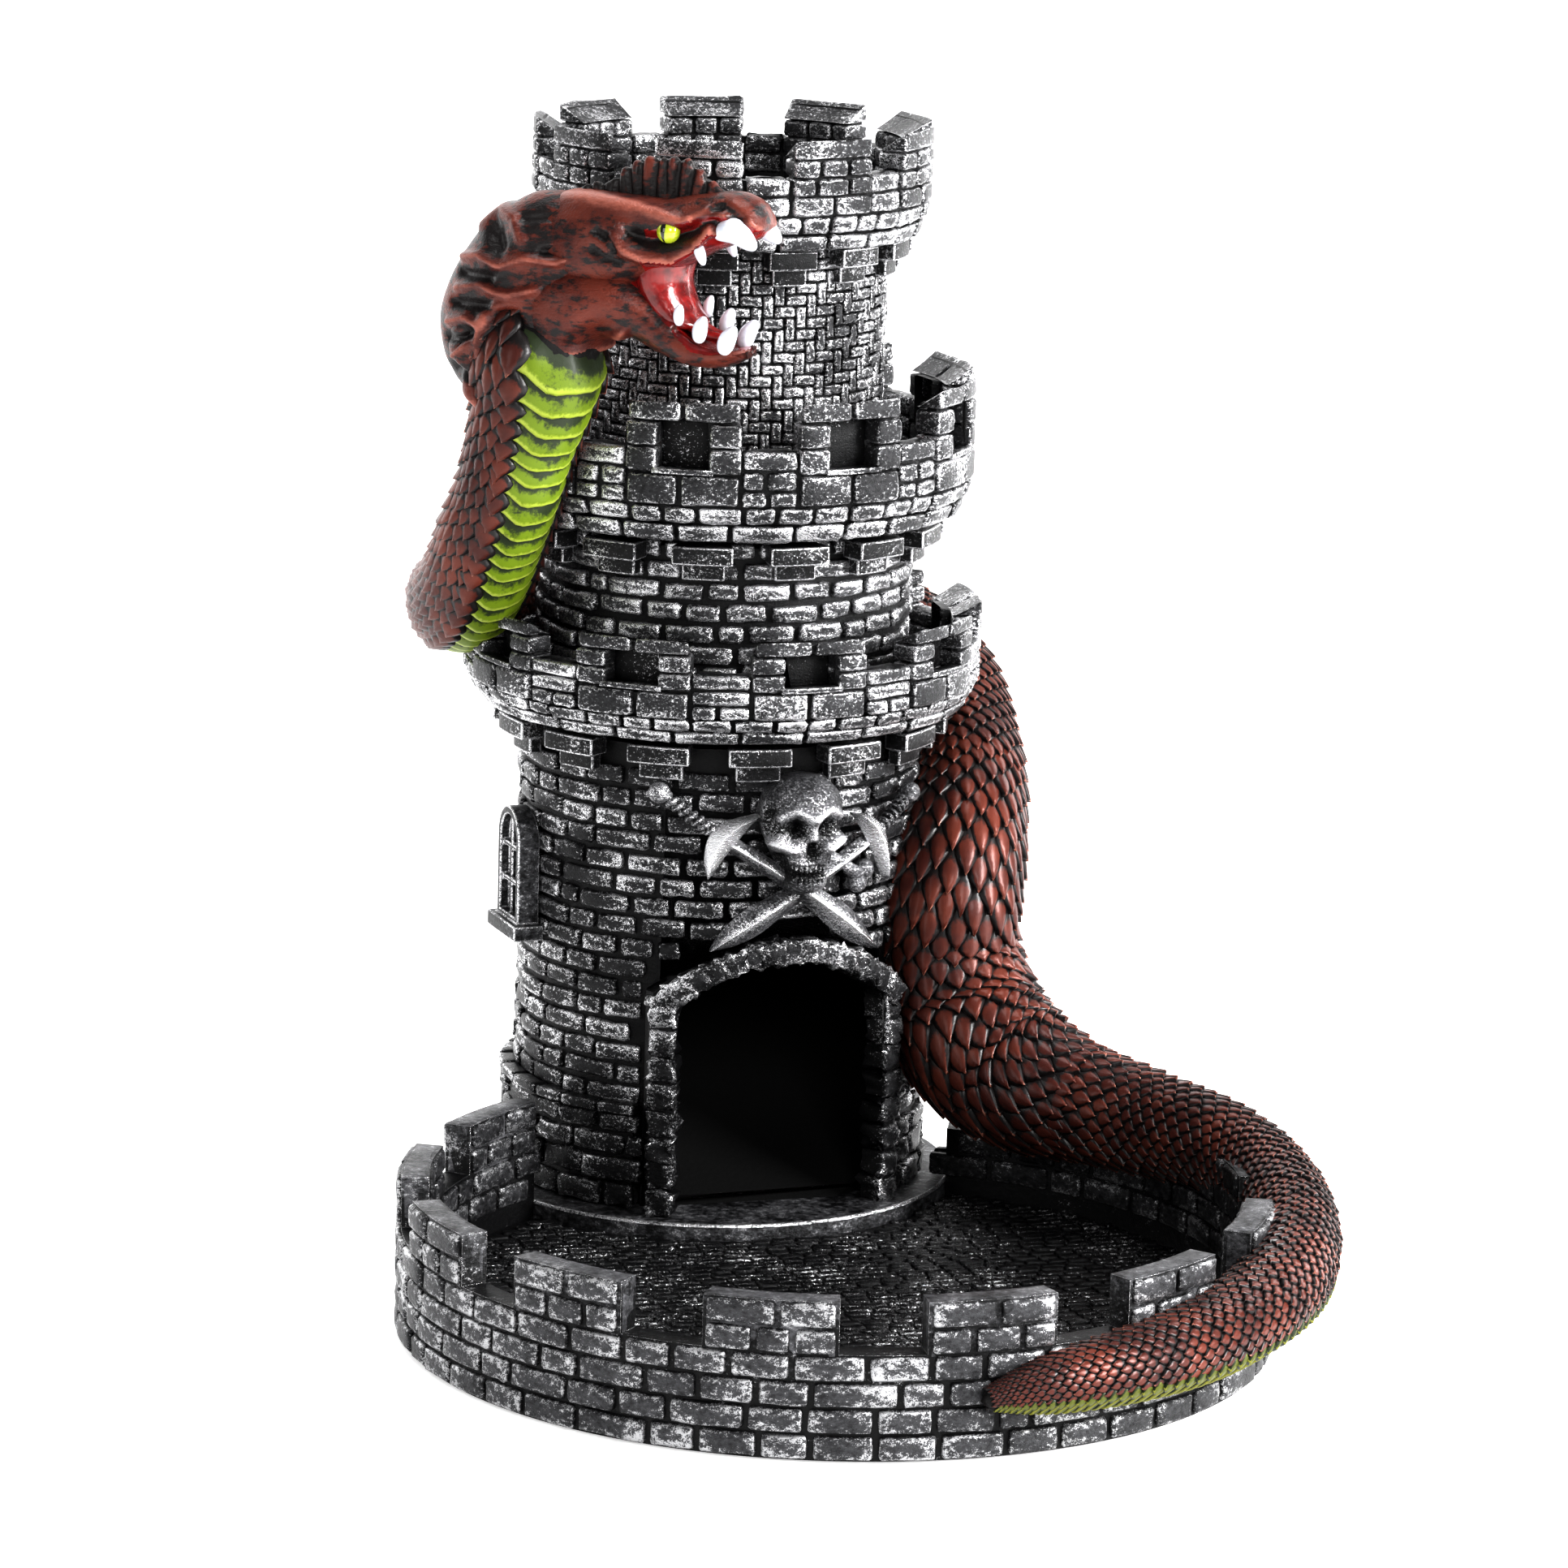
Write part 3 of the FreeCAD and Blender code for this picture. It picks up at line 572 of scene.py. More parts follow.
def stonework(name, node, heap, paint, inset=0.8):
    """A wall's stones on the black core that shows in their joints."""
    core = casting(node, name + "_core", inset=inset)
    mark(core, "relief", 0.0)
    mark(core, "rim", 0.0)
    core.data.materials.clear()
    core.data.materials.append(PAINTS["joint"])
    stones = heap.piece(name + "_stones")
    deliver_paint(stones, [PAINTS["joint"], paint], 1)
    whole = join([core, stones], name)
    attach(whole, "root")
    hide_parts(node)
    return whole


def deliver_paint(piece, paints, index):
    """Sets all of a piece's faces to one of the paints that it carries, smoothed."""
    piece.data.materials.clear()
    for paint in paints:
        piece.data.materials.append(paint)
    piece.data.polygons.foreach_set("material_index", np.full(len(piece.data.polygons), index, dtype=np.int32))
    piece.data.polygons.foreach_set("use_smooth", np.ones(len(piece.data.polygons), dtype=bool))


# ---- keep ---------------------------------------------------------------------------------------
def build_drums():
    heap = Heap()
    drum_courses(heap, 23.9, 17.8, 58.6, 16, 25, lambda z: door_arc(z, 24.0))
    stonework("lower_drum_stonework", "lower_drum", heap, PAINTS["stone"])

    heap = Heap()
    drum_courses(heap, 22.4, 66.0, 85.6, 8, 26, hammer=0.08)
    stonework("middle_drum_stonework", "mid_drum", heap, PAINTS["bold"])

    heap = Heap()
    rows, around = 22, 84
    pitch, arc, joint = (119.0 - 89.5) / rows, 360.0 / around, 0.1
    for row in range(rows):
        for column in range(around):
            low, first = 89.5 + row * pitch, column * arc
            face = 18.4 + chance.normal(0, 0.06)
            if (column - row) % 4 == 0:
                lay(heap, first + joint * arc, first + (2 - joint) * arc, low + 0.12, low + pitch - 0.12, face, 1.5, hammer=0.06)
            elif (column - row) % 4 == 3:
                lay(heap, first + joint * arc, first + (1 - joint) * arc, low + 0.12, low + 2 * pitch - 0.12, face, 1.5, hammer=0.06)
    stonework("top_drum_stonework", "top_drum", heap, PAINTS["weave"])


def build_plinth():
    heap = Heap()
    for low, high, stones, face in ((5.7, 8.8, 26, 25.7), (8.9, 11.9, 24, 25.6), (12.0, 14.6, 26, 25.5), (14.8, 17.0, 25, 25.4)):
        start = -180.0 + chance.uniform(0, 10)
        for first, last in spaced(start, start + 360.0, stones, 1.4, 1.6):
            first, last = ((first + 180) % 360) - 180, ((last + 180) % 360) - 180
            last += 360.0 if last < first else 0.0
            for a, b in without(first, last, door_arc(low, 25.6)):
                lay(heap, a, b, low + 0.2, high - 0.15, face + chance.normal(0, 0.2), hammer=0.13, fade=0.8)
    for first, last in spaced(-180.0, 180.0, 30, 1.0, 1.0):
        for a, b in without(first, last, door_arc(17.0, 25.6)):
            lay(heap, a, b, 17.15, 18.3, 25.7, hammer=0.05)
    stonework("plinth_stonework", "plinth", heap, PAINTS["stone"], 0.8)


def build_gallery(name, node, first, inner, outer, top, rows, ledge, window):
    """A gallery: ledge courses all round, then merlons of through stones with the lower wall between them."""
    heap = Heap()
    half, gap = 13.3, 1.1
    sill = min([low for low, high, kind, count in rows if kind == "sides"], default=None)
    for low, high, face, rake, stones in ledge:
        for a, b in spaced(first, first + 360.0, stones, 1.1, 0.7):
            lay(heap, a, b, low, high, face + chance.normal(0, 0.08), rake=rake, depth=2.0)
    for i in range(9):
        middle = first + 40.0 * i
        for low, high, kind, count in rows:
            drop = min(3.0, 0.72 * (high - low) + 0.6) if high > top - 0.5 else 0.0
            if kind == "merlon":
                for a, b in spaced(middle - half, middle + half, count, gap, 0.6):
                    lay_through(heap, a, b, low, high, inner, outer, drop)
            elif kind == "sides":
                for side in (-1, 1):
                    ends = sorted((middle + side * window, middle + side * half))
                    lay_through(heap, ends[0], ends[1], low, high, inner, outer)
                if low == sill:
                    lay(heap, middle - 7, middle + 7, low - 0.15, low + 0.5, outer + 0.15, depth=1.6, hammer=0.03)
                    lay(heap, middle - 6.5, middle + 6.5, low, low + 2 * (high - low) + 0.4, inner + 0.9, fade=0.25)
            else:
                for a, b in spaced(middle + half, middle + 40.0 - half, count, gap, 0.5):
                    lay(heap, a, b, low, high, outer - 0.25 + chance.normal(0, 0.08))
                    lay(heap, a, b, low, high, inner + 0.1, inward=True, fade=0.8)
    stonework(name, node, heap, PAINTS["bold"], 0.7)


def build_galleries():
    build_gallery(
        "lower_gallery_stonework", "lower_gallery", TURN, 27.2, 30.8, 75.4,
        (
            (66.1, 69.1, "merlon", 2), (69.4, 71.3, "sides", 1), (71.5, 73.4, "sides", 1), (73.6, 75.4, "merlon", 2),
            (66.1, 67.6, "wall", 2), (67.9, 69.4, "wall", 1), (69.7, 71.2, "wall", 1),
        ),
        ((62.9, 64.3, 28.7, 0.45, 24), (64.5, 65.9, 29.7, 0.4, 42)), 6.1,
    )
    build_gallery(
        "upper_gallery_stonework", "upper_gallery", TURN + 10, 26.0, 29.5, 102.9,
        (
            (90.8, 94.2, "merlon", 2), (94.5, 97.3, "sides", 1), (97.5, 100.2, "sides", 1), (100.5, 102.9, "merlon", 2),
            (90.8, 92.4, "wall", 2), (92.7, 94.7, "wall", 2), (95.0, 97.1, "wall", 1),
        ),
        ((86.3, 88.3, 27.5, 0.4, 26), (88.6, 90.5, 28.6, 0.35, 40)), 6.1,
    )
    build_gallery(
        "crown_stonework", "crown", TURN + 10, 19.8, 23.6, 132.2,
        (
            (123.4, 125.5, "merlon", 2), (125.7, 127.6, "merlon", 3), (127.8, 129.7, "merlon", 3), (129.9, 132.2, "merlon", 1),
            (123.4, 125.5, "wall", 1), (125.7, 127.7, "wall", 1),
        ),
        ((119.1, 120.9, 22.0, 0.3, 24), (121.2, 123.1, 22.7, 0.3, 40)), 6.1,
    )


def build_castings():
    """Castings whose own shape shows: bevelled, with silver on their arrises."""
    for node, name, bevel, face in (
        ("lower_corbels", "lower_corbel_stones", 0.28, "stone"), ("upper_corbels", "upper_corbel_stones", 0.28, "stone"),
        ("crown_corbels", "crown_corbel_stones", 0.25, "stone"), ("keep_step", "threshold_step", 0.35, "slab"),
        ("window_left", "left_window_frame", 0.2, "slab"), ("window_back", "back_window_frame", 0.2, "slab"),
    ):
        piece = casting(node, name, bevel=bevel)
        mark(piece, "relief", 0.7)
        mark(piece, "rim", 0.3)
        deliver(piece, [PAINTS[face], PAINTS["edge"]], [node], 40)


def build_door_surround():
    """Rough arch stones round the door, on the black porch casting."""
    heap = Heap()
    half, spring, bow_top = DOOR_HALF + 1.35, DOOR_SPRING + 1.35, DOOR_SPRING + 1.35 + DOOR_RISE
    bow = (half * half + DOOR_RISE * DOOR_RISE) / (2 * DOOR_RISE)
    spread = math.asin(half / bow)
    route = [(-half, STEP_TOP + 0.3 + t * (spring - STEP_TOP) / 8, 0.0) for t in range(8)]
    for t in np.linspace(-spread, spread, 15):
        route.append((bow * math.sin(t), bow_top - bow + bow * math.cos(t), math.pi / 2 - t))
    route += [(half, spring - 0.6 - t * (spring - STEP_TOP) / 8, math.pi) for t in range(8)]
    for x, z, turn in route:
        stone = rough(cut_to_size(STONE, 3.0, 3.2, 2.75), 0.2)
        u, y, v = stone.T
        along, across = u * math.sin(turn) + v * math.cos(turn) * 1.0, v * math.sin(turn) * -1.0 + u * math.cos(turn)
        if abs(turn) < 0.01 or abs(turn - math.pi) < 0.01:
            px, pz = x + v * 1.0, z + 1.3 * math.cos(turn) + u
        else:
            px = x + u * math.sin(turn) + v * math.cos(turn)
            pz = z - u * math.cos(turn) + v * math.sin(turn)
        out = 26.9 - (y + 1.6) + chance.normal(0, 0.12)
        angle = np.degrees(np.arcsin(np.clip(px / 26.9, -1, 1))) + TURN
        heap.add(STONE, polar(angle, out, pz), 0.95)
    stonework("door_surround_stonework", "door_surround", heap, PAINTS["stone"], 0.5)


# ---- tray ---------------------------------------------------------------------------------------
def build_tray():
    merlons = [3.3 + 28.3 * i for i in range(-5, 4)]
    core = casting("tray_wall", "tray_wall_core", bevel=0.35)
    points = points_of(core)
    radius = np.hypot(points[:, 0], points[:, 1])
    draw = np.where(radius > 48.0, -0.6, 0.45)
    points[:, :2] *= ((radius + draw) / radius)[:, None]
    set_points(core, points)
    mark(core, "relief", np.clip((points[:, 2] - 10.5) / 4.0, 0.0, 0.75))
    mark(core, "rim", 0.3 * (points[:, 2] > 11.0))
    for index, paint in enumerate(("slab", "edge")):
        core.data.materials[index] = PAINTS[paint]
    core.data.materials.append(PAINTS["tray_stone"])
    choose(core)
    bpy.ops.object.shade_smooth_by_angle(angle=math.radians(40))

    heap = Heap()
    rows = 6
    pitch = TRAY_TOP / rows
    for row in range(rows):
        low = row * pitch
        gap = 0.75
        if row < 4:
            start = -150.0 + chance.uniform(0, 6)
            arcs = spaced(start, start + 300.0, 38, gap, 1.1)
        else:
            arcs = []
            for middle in merlons:
                count = 2 if (row % 2) else 3
                arcs += spaced(middle - 8.5, middle + 8.5, count, gap, 0.6)
        top = low + pitch - 0.16
        for a, b in arcs:
            if abs((a + b) / 2) > 146:
                continue
            lay(heap, a, b, low + 0.16, top, TRAY_R - 0.06 + chance.normal(0, 0.05), depth=1.2, axis_y=0.0, hammer=0.045)
            if 3.9 < low:
                lay(heap, a, b, low + 0.16, top, TRAY_IN, depth=0.9, axis_y=0.0, hammer=0.05, inward=True, fade=0.75)
    stones = heap.piece("tray_wall_stones")
    deliver_paint(stones, [PAINTS["slab"], PAINTS["edge"], PAINTS["tray_stone"]], 2)
    heap = Heap()
    for middle in merlons:
        lay_through(
            heap, middle - 8.6, middle + 8.6, TRAY_CRENEL - 0.6, TRAY_TOP + 0.05, TRAY_IN + 0.5, TRAY_R - 0.6,
            axis_y=0.0, hammer=0.03,
        )
    blocks = heap.piece("tray_merlon_blocks")
    deliver_paint(blocks, [PAINTS["slab"], PAINTS["edge"], PAINTS["tray_stone"]], 0)
    wall = join([core, stones, blocks], "tray_wall_stonework")
    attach(wall, "root")
    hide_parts("tray_wall")

    heap = Heap()
    for row in range(58):
        y = -45.0 + row * 1.6
        reach = math.sqrt(max(0.0, 45.6**2 - y * y))
        x = -reach + chance.uniform(0, 2.0)
        while x < reach - 0.8:
            length = min(chance.uniform(2.3, 3.6), reach - x)
            centre = x + length / 2
            if math.hypot(centre, y - KEEP_Y) > 29.8:
                cobble = rough(cut_to_size(STONE, length - 0.3, 1.4, 1.25, 0.8), 0.05)
                u, d, v = cobble.T
                heap.add(STONE, np.stack([centre + u, y + v, 4.05 - (d + 0.7) + chance.normal(0, 0.05)], axis=-1), 1.0)
            x += length
    stonework("tray_floor_cobbles", "tray_floor", heap, PAINTS["tray"], 0.3)


# ---- snake --------------------------------------------------------------------------------------
TAIL_ROUTE = (
    (1, 50.9, 6.8, 1.0), (9, 51.0, 7.8, 2.8), (20, 51.3, 8.6, 3.7), (32, 51.7, 9.3, 4.2), (44, 52.0, 10.3, 4.5),
    (56, 52.2, 11.5, 4.7), (68, 52.0, 13.0, 4.7), (80, 51.6, 14.4, 4.7), (91, 51.0, 15.6, 4.8), (101, 49.2, 16.8, 5.1),
    (111.6, 47.5, 16.9, 5.6), (122, 45.1, 18.0, 6.3),
)
KEEP_ROUTE = (
    (54.5, 41.1, 19.3, 7.6), (56.2, 36.7, 21.0, 8.2), (57.5, 32.6, 24.2, 8.5), (59.9, 30.0, 28.5, 8.3),
    (60.5, 28.3, 34.0, 8.0), (61, 28.4, 40.0, 7.9), (66, 29.0, 46.0, 7.4), (78, 30.0, 52.0, 6.4), (94, 31.6, 57.0, 5.7),
    (109, 34.2, 61.5, 5.4), (125, 36.0, 65.5, 5.4), (144, 36.2, 69.0, 5.4), (164, 35.8, 71.2, 5.4),
    (186, 35.2, 72.4, 5.4), (208, 34.0, 72.8, 5.5), (228, 32.4, 73.2, 5.7), (246, 31.4, 73.6, 5.8),
    (262, 31.2, 74.6, 5.8), (274, 31.6, 77.0, 5.8), (283, 32.3, 80.8, 5.8), (290, 33.1, 85.8, 5.8),
    (297, 33.9, 91.8, 5.7), (301, 34.4, 97.6, 5.9), (304, 34.6, 102.6, 6.6), (305.5, 34.7, 107.3, 7.4),
    (306, 33.6, 112.5, 6.0),
)
SNAKE_PARTS = {"snake_tail": (0, 11), "snake_lower_body": (11, 19), "snake_coil": (19, 28), "snake_neck": (28, 37)}
SCALES_ROUND = 15


def smooth_through(values, steps):
    """Catmull-Rom curve through rows of values, with steps points between each two."""
    values = np.asarray(values, dtype=float)
    padded = np.vstack([2 * values[0] - values[1], values, 2 * values[-1] - values[-2]])
    t = np.linspace(0, 1, steps, endpoint=False)[:, None]
    spans = []
    for p0, p1, p2, p3 in zip(padded[:-3], padded[1:-2], padded[2:-1], padded[3:]):
        spans.append(
            0.5 * (2 * p1 + (p2 - p0) * t + (2 * p0 - 5 * p1 + 4 * p2 - p3) * t * t + (3 * p1 - p0 - 3 * p2 + p3) * t**3)
        )
    return np.vstack(spans + [values[-1:]])


class Route:
    """The snake's middle line with its thickness and the way that its belly faces, by distance from the tail."""

    def __init__(self):
        stations, bellies = [], []
        for azimuth, radius, z, thick in TAIL_ROUTE:
            stations.append([*polar(azimuth, radius, z, 0.0), thick])
            bellies.append(polar(azimuth, 0.5, -1.0, 0.0))
        for azimuth, radius, z, thick in KEEP_ROUTE:
            stations.append([*polar(azimuth, radius, z), thick])
            inward = -polar(azimuth, 1.0, 0.0, 0.0)
            down = np.array([0.0, 0.0, -1.0])
            if azimuth < 70:
                bellies.append(inward)
            elif azimuth < 120:
                bellies.append(inward + down * (azimuth - 60) / 35.0)
            elif azimuth < 270:
                bellies.append(down)
            else:
                bellies.append(polar(23.0, 1.0, -max(0.0, (286.0 - azimuth) / 10.0), 0.0))
        fine = smooth_through(stations, 16)
        steps = np.linalg.norm(np.diff(fine[:, :3], axis=0), axis=1)
        self.s = np.concatenate([[0.0], np.cumsum(steps)])
        self.knots = self.s[::16]
        self.middle, self.thick = fine[:, :3], np.maximum(fine[:, 3], 0.4)
        along = np.gradient(self.middle, axis=0)
        along /= np.linalg.norm(along, axis=1)[:, None]
        belly = smooth_through(bellies, 16)
        spread = np.pad(belly, ((40, 40), (0, 0)), mode="edge")
        belly = np.stack([np.convolve(column, np.ones(81) / 81, mode="valid") for column in spread.T], axis=-1)
        belly -= along * (belly * along).sum(1)[:, None]
        self.belly = belly / np.linalg.norm(belly, axis=1)[:, None]
        self.side = np.cross(along, self.belly)
        stops = self.knots[[0, 6, 9, 11, 19, 21, 31, 36, 37]]
        self.belly_half = np.interp(self.s, stops, (36.0, 32.0, 12.0, 0.0, 0.0, 36.0, 44.0, 58.0, 60.0))

    def at(self, s, table):
        if table.ndim == 1:
            return np.interp(s, self.s, table)
        return np.stack([np.interp(s, self.s, table[:, i]) for i in range(3)], axis=-1)

    def bare(self, s):
        """Half the turn at the belly that the scales leave free."""
        return math.radians(float(self.at(s, self.belly_half))) + 0.12

    def skin(self, s, angle, height):
        """Points height millimetres off the snake's skin; angle 0 is the middle of its belly."""
        reach = (self.at(s, self.thick) + height)[..., None]
        out = self.at(s, self.belly) * np.cos(angle)[..., None] + self.at(s, self.side) * np.sin(angle)[..., None]
        return self.at(s, self.middle) + out * reach


def model_scale():
    """One scale: across -0.5 to 0.5 in x, from its free end at y 0 to its root at y 1, height in z."""
    clear_selection()
    bpy.ops.mesh.primitive_grid_add(x_subdivisions=4, y_subdivisions=6, size=1, location=(0, 0, 0))
    scale = bpy.context.object
    edit(scale, "EDGE", False)
    cage = bmesh.from_edit_mesh(scale.data)
    for edge in cage.edges:
        edge.select_set(edge.is_boundary and not all(vert.co.y > 0.499 for vert in edge.verts))
    bmesh.update_edit_mesh(scale.data)
    bpy.ops.mesh.extrude_region_move(TRANSFORM_OT_translate={"value": (0, 0, -0.2)})
    leave_edit()
    points = points_of(scale) * MM
    across, along, skirt = points[:, 0] * 2, points[:, 1] + 0.5, points[:, 2] < -0.1
    half = np.interp(along, (0.0, 0.12, 0.3, 0.5, 0.85, 1.0), (0.06, 0.22, 0.38, 0.45, 0.24, 0.02))
    height = 0.26 * (1 - along) ** 0.9 + 0.11 * (1 - across**2)
    lip = 0.07 * (1 - np.abs(across)) * np.clip(1 - along / 0.3, 0, 1)
    shaped = np.stack([across * half, along - lip * 1.2, np.where(skirt, -0.05, height)], axis=-1)
    edge_near = np.maximum(np.abs(across) ** 3, np.clip(1 - along / 0.22, 0, 1))
    relief = np.where(skirt, -0.6, 1.0 - 0.9 * np.clip((along - 0.5) / 0.35, 0, 1) - 1.2 * np.abs(across) ** 3)
    # The rim mark says where the painted highlight goes: along the free tip and the sides.
    rim = np.where(skirt, 0.3, edge_near * (along < 0.55))
    set_points(scale, shaped)
    return Pattern(scale, {"relief": lambda p: relief, "rim": lambda p: rim})


SCALE = model_scale()


def lay_scales(heap, route, start, end):
    """Overlapping scales in staggered rows, their free ends towards the tail."""
    s, row = start, 0
    while s < end:
        thick = float(route.at(s, route.thick))
        pitch = max(0.34, 0.205 * thick)
        for column in range(SCALES_ROUND):
            angle = (column + 0.5 * (row % 2)) * 2 * math.pi / SCALES_ROUND
            off_belly = min(angle, 2 * math.pi - angle)
            if off_belly < route.bare(s) and route.bare(s) > 0.3:
                continue
            x, y, z = SCALE.points.T
            width = 2 * math.pi * thick / SCALES_ROUND
            turn = chance.normal(0.0, 0.03)
            place = s + (y + x * turn) * pitch * 2.45 + chance.normal(0, 0.02) * thick
            tip = z * width * chance.uniform(0.85, 1.2)
            heap.add(SCALE, route.skin(place, angle + x * 2 * math.pi / SCALES_ROUND * 1.02, tip), chance.uniform(0.85, 1.1))
        s += pitch
        row += 1


def belly_points(route, s0, pitch):
    """One belly plate bent across the snake: a folded strip, lowest in its middle, with a proud lower lip."""
    across = np.linspace(-1, 1, 13)
    profile = ((0.0, -0.06), (0.0, 0.05), (0.10, 0.085), (0.32, 0.075), (0.75, 0.03), (1.2, -0.03))
    thick, half = float(route.at(s0, route.thick)), float(route.at(s0, route.belly_half))
    rows = []
    for along, height in profile:
        fold = 0.6 * (1 - np.abs(across)) ** 1.0 - 0.14 * np.cos(across * math.pi * 2.2)
        s = s0 + (along - fold) * pitch
        lift = height * thick * (1 - 0.35 * across**2)
        rows.append(route.skin(s, across * math.radians(half), lift))
    return np.array(rows)


def lay_belly(route, start, end, name):
    """The belly plates of a stretch of the snake, and the lobes down both sides of them."""
    points, faces, relief, rim = [], [], [], []
    s = start
    while s < end:
        pitch = max(0.5, 0.37 * float(route.at(s, route.thick)))
        if route.bare(s) < 0.3:
            s += pitch
            continue
        rows = belly_points(route, s, pitch)
        count = len(points)
        points.extend(rows.reshape(-1, 3))
        rings, across = rows.shape[:2]
        for i in range(rings - 1):
            for j in range(across - 1):
                a = count + i * across + j
                faces.append((a, a + across, a + across + 1, a + 1))
        relief.extend(np.repeat((-0.4, 0.7, 1.0, 0.9, 0.45, -0.4), across))
        # The rim rows put the painted highlight on each plate's proud lower lip.
        rim.extend(np.repeat((0.0, 0.9, 1.0, 0.3, 0.0, 0.0), across))
        s += pitch
    mesh = bpy.data.meshes.new(name)
    mesh.from_pydata((np.array(points) * MM).tolist(), [], faces)
    plates = bpy.data.objects.new(name, mesh)
    bpy.context.scene.collection.objects.link(plates)
    mark(plates, "relief", np.array(relief))
    mark(plates, "rim", np.array(rim))

    lobes = Heap()
    s = start
    while s < end:
        thick = float(route.at(s, route.thick))
        pitch = max(0.5, 0.37 * thick)
        for side in (-1, 1) if route.bare(s) > 0.3 else ():
            x, y, z = SCALE.points.T
            angle = side * math.radians(float(route.at(s, route.belly_half)) + 4) + x * 0.62
            lobes.add(SCALE, route.skin(s + y * pitch * 1.25, angle, z * thick * 0.55))
        s += pitch
    return plates, lobes.piece(name + "_lobes")


def tube(name, route, start, end, shrink):
    """The snake's black under-body for one stretch, closed at both ends."""
    rings = int((end - start) / 0.9) + 4
    clear_selection()
    bpy.ops.mesh.primitive_uv_sphere_add(segments=28, ring_count=rings, radius=1.0, location=(0, 0, 0))
    body = named(bpy.context.object, name)
    p = points_of(body) * MM
    t = np.arccos(np.clip(p[:, 2], -1, 1)) / math.pi
    angle = np.arctan2(p[:, 1], p[:, 0])
    s = start + (end - start) * t
    radius = route.at(s, route.thick) - shrink
    ends = np.where((t < 0.001) | (t > 0.999), 0.0, 1.0)
    set_points(body, route.skin(s, angle, -route.at(s, route.thick) + radius * ends))
    mark(body, "relief", 0.0)
    mark(body, "rim", 0.0)
    face_outward(body)
    return body


def face_outward(piece):
    edit(piece)
    bpy.ops.mesh.normals_make_consistent(inside=False)
    leave_edit()


def build_snake():
    route = Route()
    for node, (first, last) in SNAKE_PARTS.items():
        start, end = route.knots[first], route.knots[last]
        body = tube(node + "_body", route, max(0.0, start - 1.0), min(route.s[-1], end + 1.0), 0.18)
        heap = Heap()
        lay_scales(heap, route, start + (0.8 if first == 0 else 0.0), end)
        scales = heap.piece(node + "_scales")
        # The tail takes the darkened belly green, which is painted shade.
        green = "shaded_olive" if node == "snake_tail" else "belly"
        paints = [PAINTS["under"], PAINTS["scales"], PAINTS[green]]
        layers = [(body, 0), (scales, 1)]
        if route.bare((start + end) / 2) > 0.3:
            throat = 6.0 if node == "snake_neck" else 0.0
            plates, lobes = lay_belly(route, start + 1.5, end - throat, node + "_belly")
            layers += [(plates, 2), (lobes, 2 if node == "snake_tail" else 1)]
        for piece, index in layers:
            deliver_paint(piece, paints, index)
        whole = join([piece for piece, index in layers], node + "_hide")
        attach(whole, "root")
        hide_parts(node)


# ---- head ---------------------------------------------------------------------------------------
HEAD_BACK = np.array([-24.5, 31.5, 119.5])
ALONG = np.array([math.sin(math.radians(50)), -math.cos(math.radians(50)), 0.0])
SIDE = np.array([ALONG[1], -ALONG[0], 0.0])
UP = np.array([0.0, 0.0, 1.0])


def head_to_world(points):
    """Turns head places (forward, to the outer side, up) into places on the tower."""
    points = np.asarray(points, dtype=float)
    return HEAD_BACK + points[..., :1] * ALONG + points[..., 1:2] * SIDE + points[..., 2:3] * UP


def lofted(name, sections, rings=72, around=64, round_ends=0.08, square=2.0):
    """A closed skin through oval sections (forward, side, up, half side, half up, pitch) in head places.
    It starts as a ball whose rings are moved onto the sections."""
    clear_selection()
    bpy.ops.mesh.primitive_uv_sphere_add(segments=around, ring_count=rings, radius=1.0, location=(0, 0, 0))
    skin = named(bpy.context.object, name)
    p = points_of(skin) * MM
    t = np.arccos(np.clip(p[:, 2], -1, 1)) / math.pi
    angle = np.arctan2(p[:, 1], p[:, 0])
    fine = smooth_through(sections, 24)
    place = np.linspace(0, 1, len(fine))
    forward, side, up, half_side, half_up, pitch = (np.interp(t, place, fine[:, i]) for i in range(6))
    end = np.clip(np.minimum(t, 1 - t) / round_ends, 0, 1)
    shrink = np.sqrt(np.clip(1 - (1 - end) ** 2, 0, 1))
    pitch = np.radians(pitch)
    x, y = np.cos(angle), np.sin(angle)
    x, y = np.sign(x) * np.abs(x) ** (2 / square), np.sign(y) * np.abs(y) ** (2 / square)
    x, y = x * half_side * shrink, y * half_up * shrink
    points = np.stack([forward - y * np.sin(pitch), side + x, up + y * np.cos(pitch)], axis=-1)
    set_points(skin, points)
    face_outward(skin)
    mark(skin, "relief", 0.62)
    mark(skin, "rim", 0.0)
    return skin


def along_line(points, line):
    """The distance of each point from a bent line."""
    best = np.full(len(points), 1e9)
    line = np.asarray(line, dtype=float)
    if len(line) == 1:
        return np.linalg.norm(points - line[0], axis=1)
    for a, b in zip(line[:-1], line[1:]):
        d = b - a
        t = np.clip(((points - a) @ d) / max(1e-9, d @ d), 0, 1)
        best = np.minimum(best, np.linalg.norm(points - (a + t[:, None] * d), axis=1))
    return best


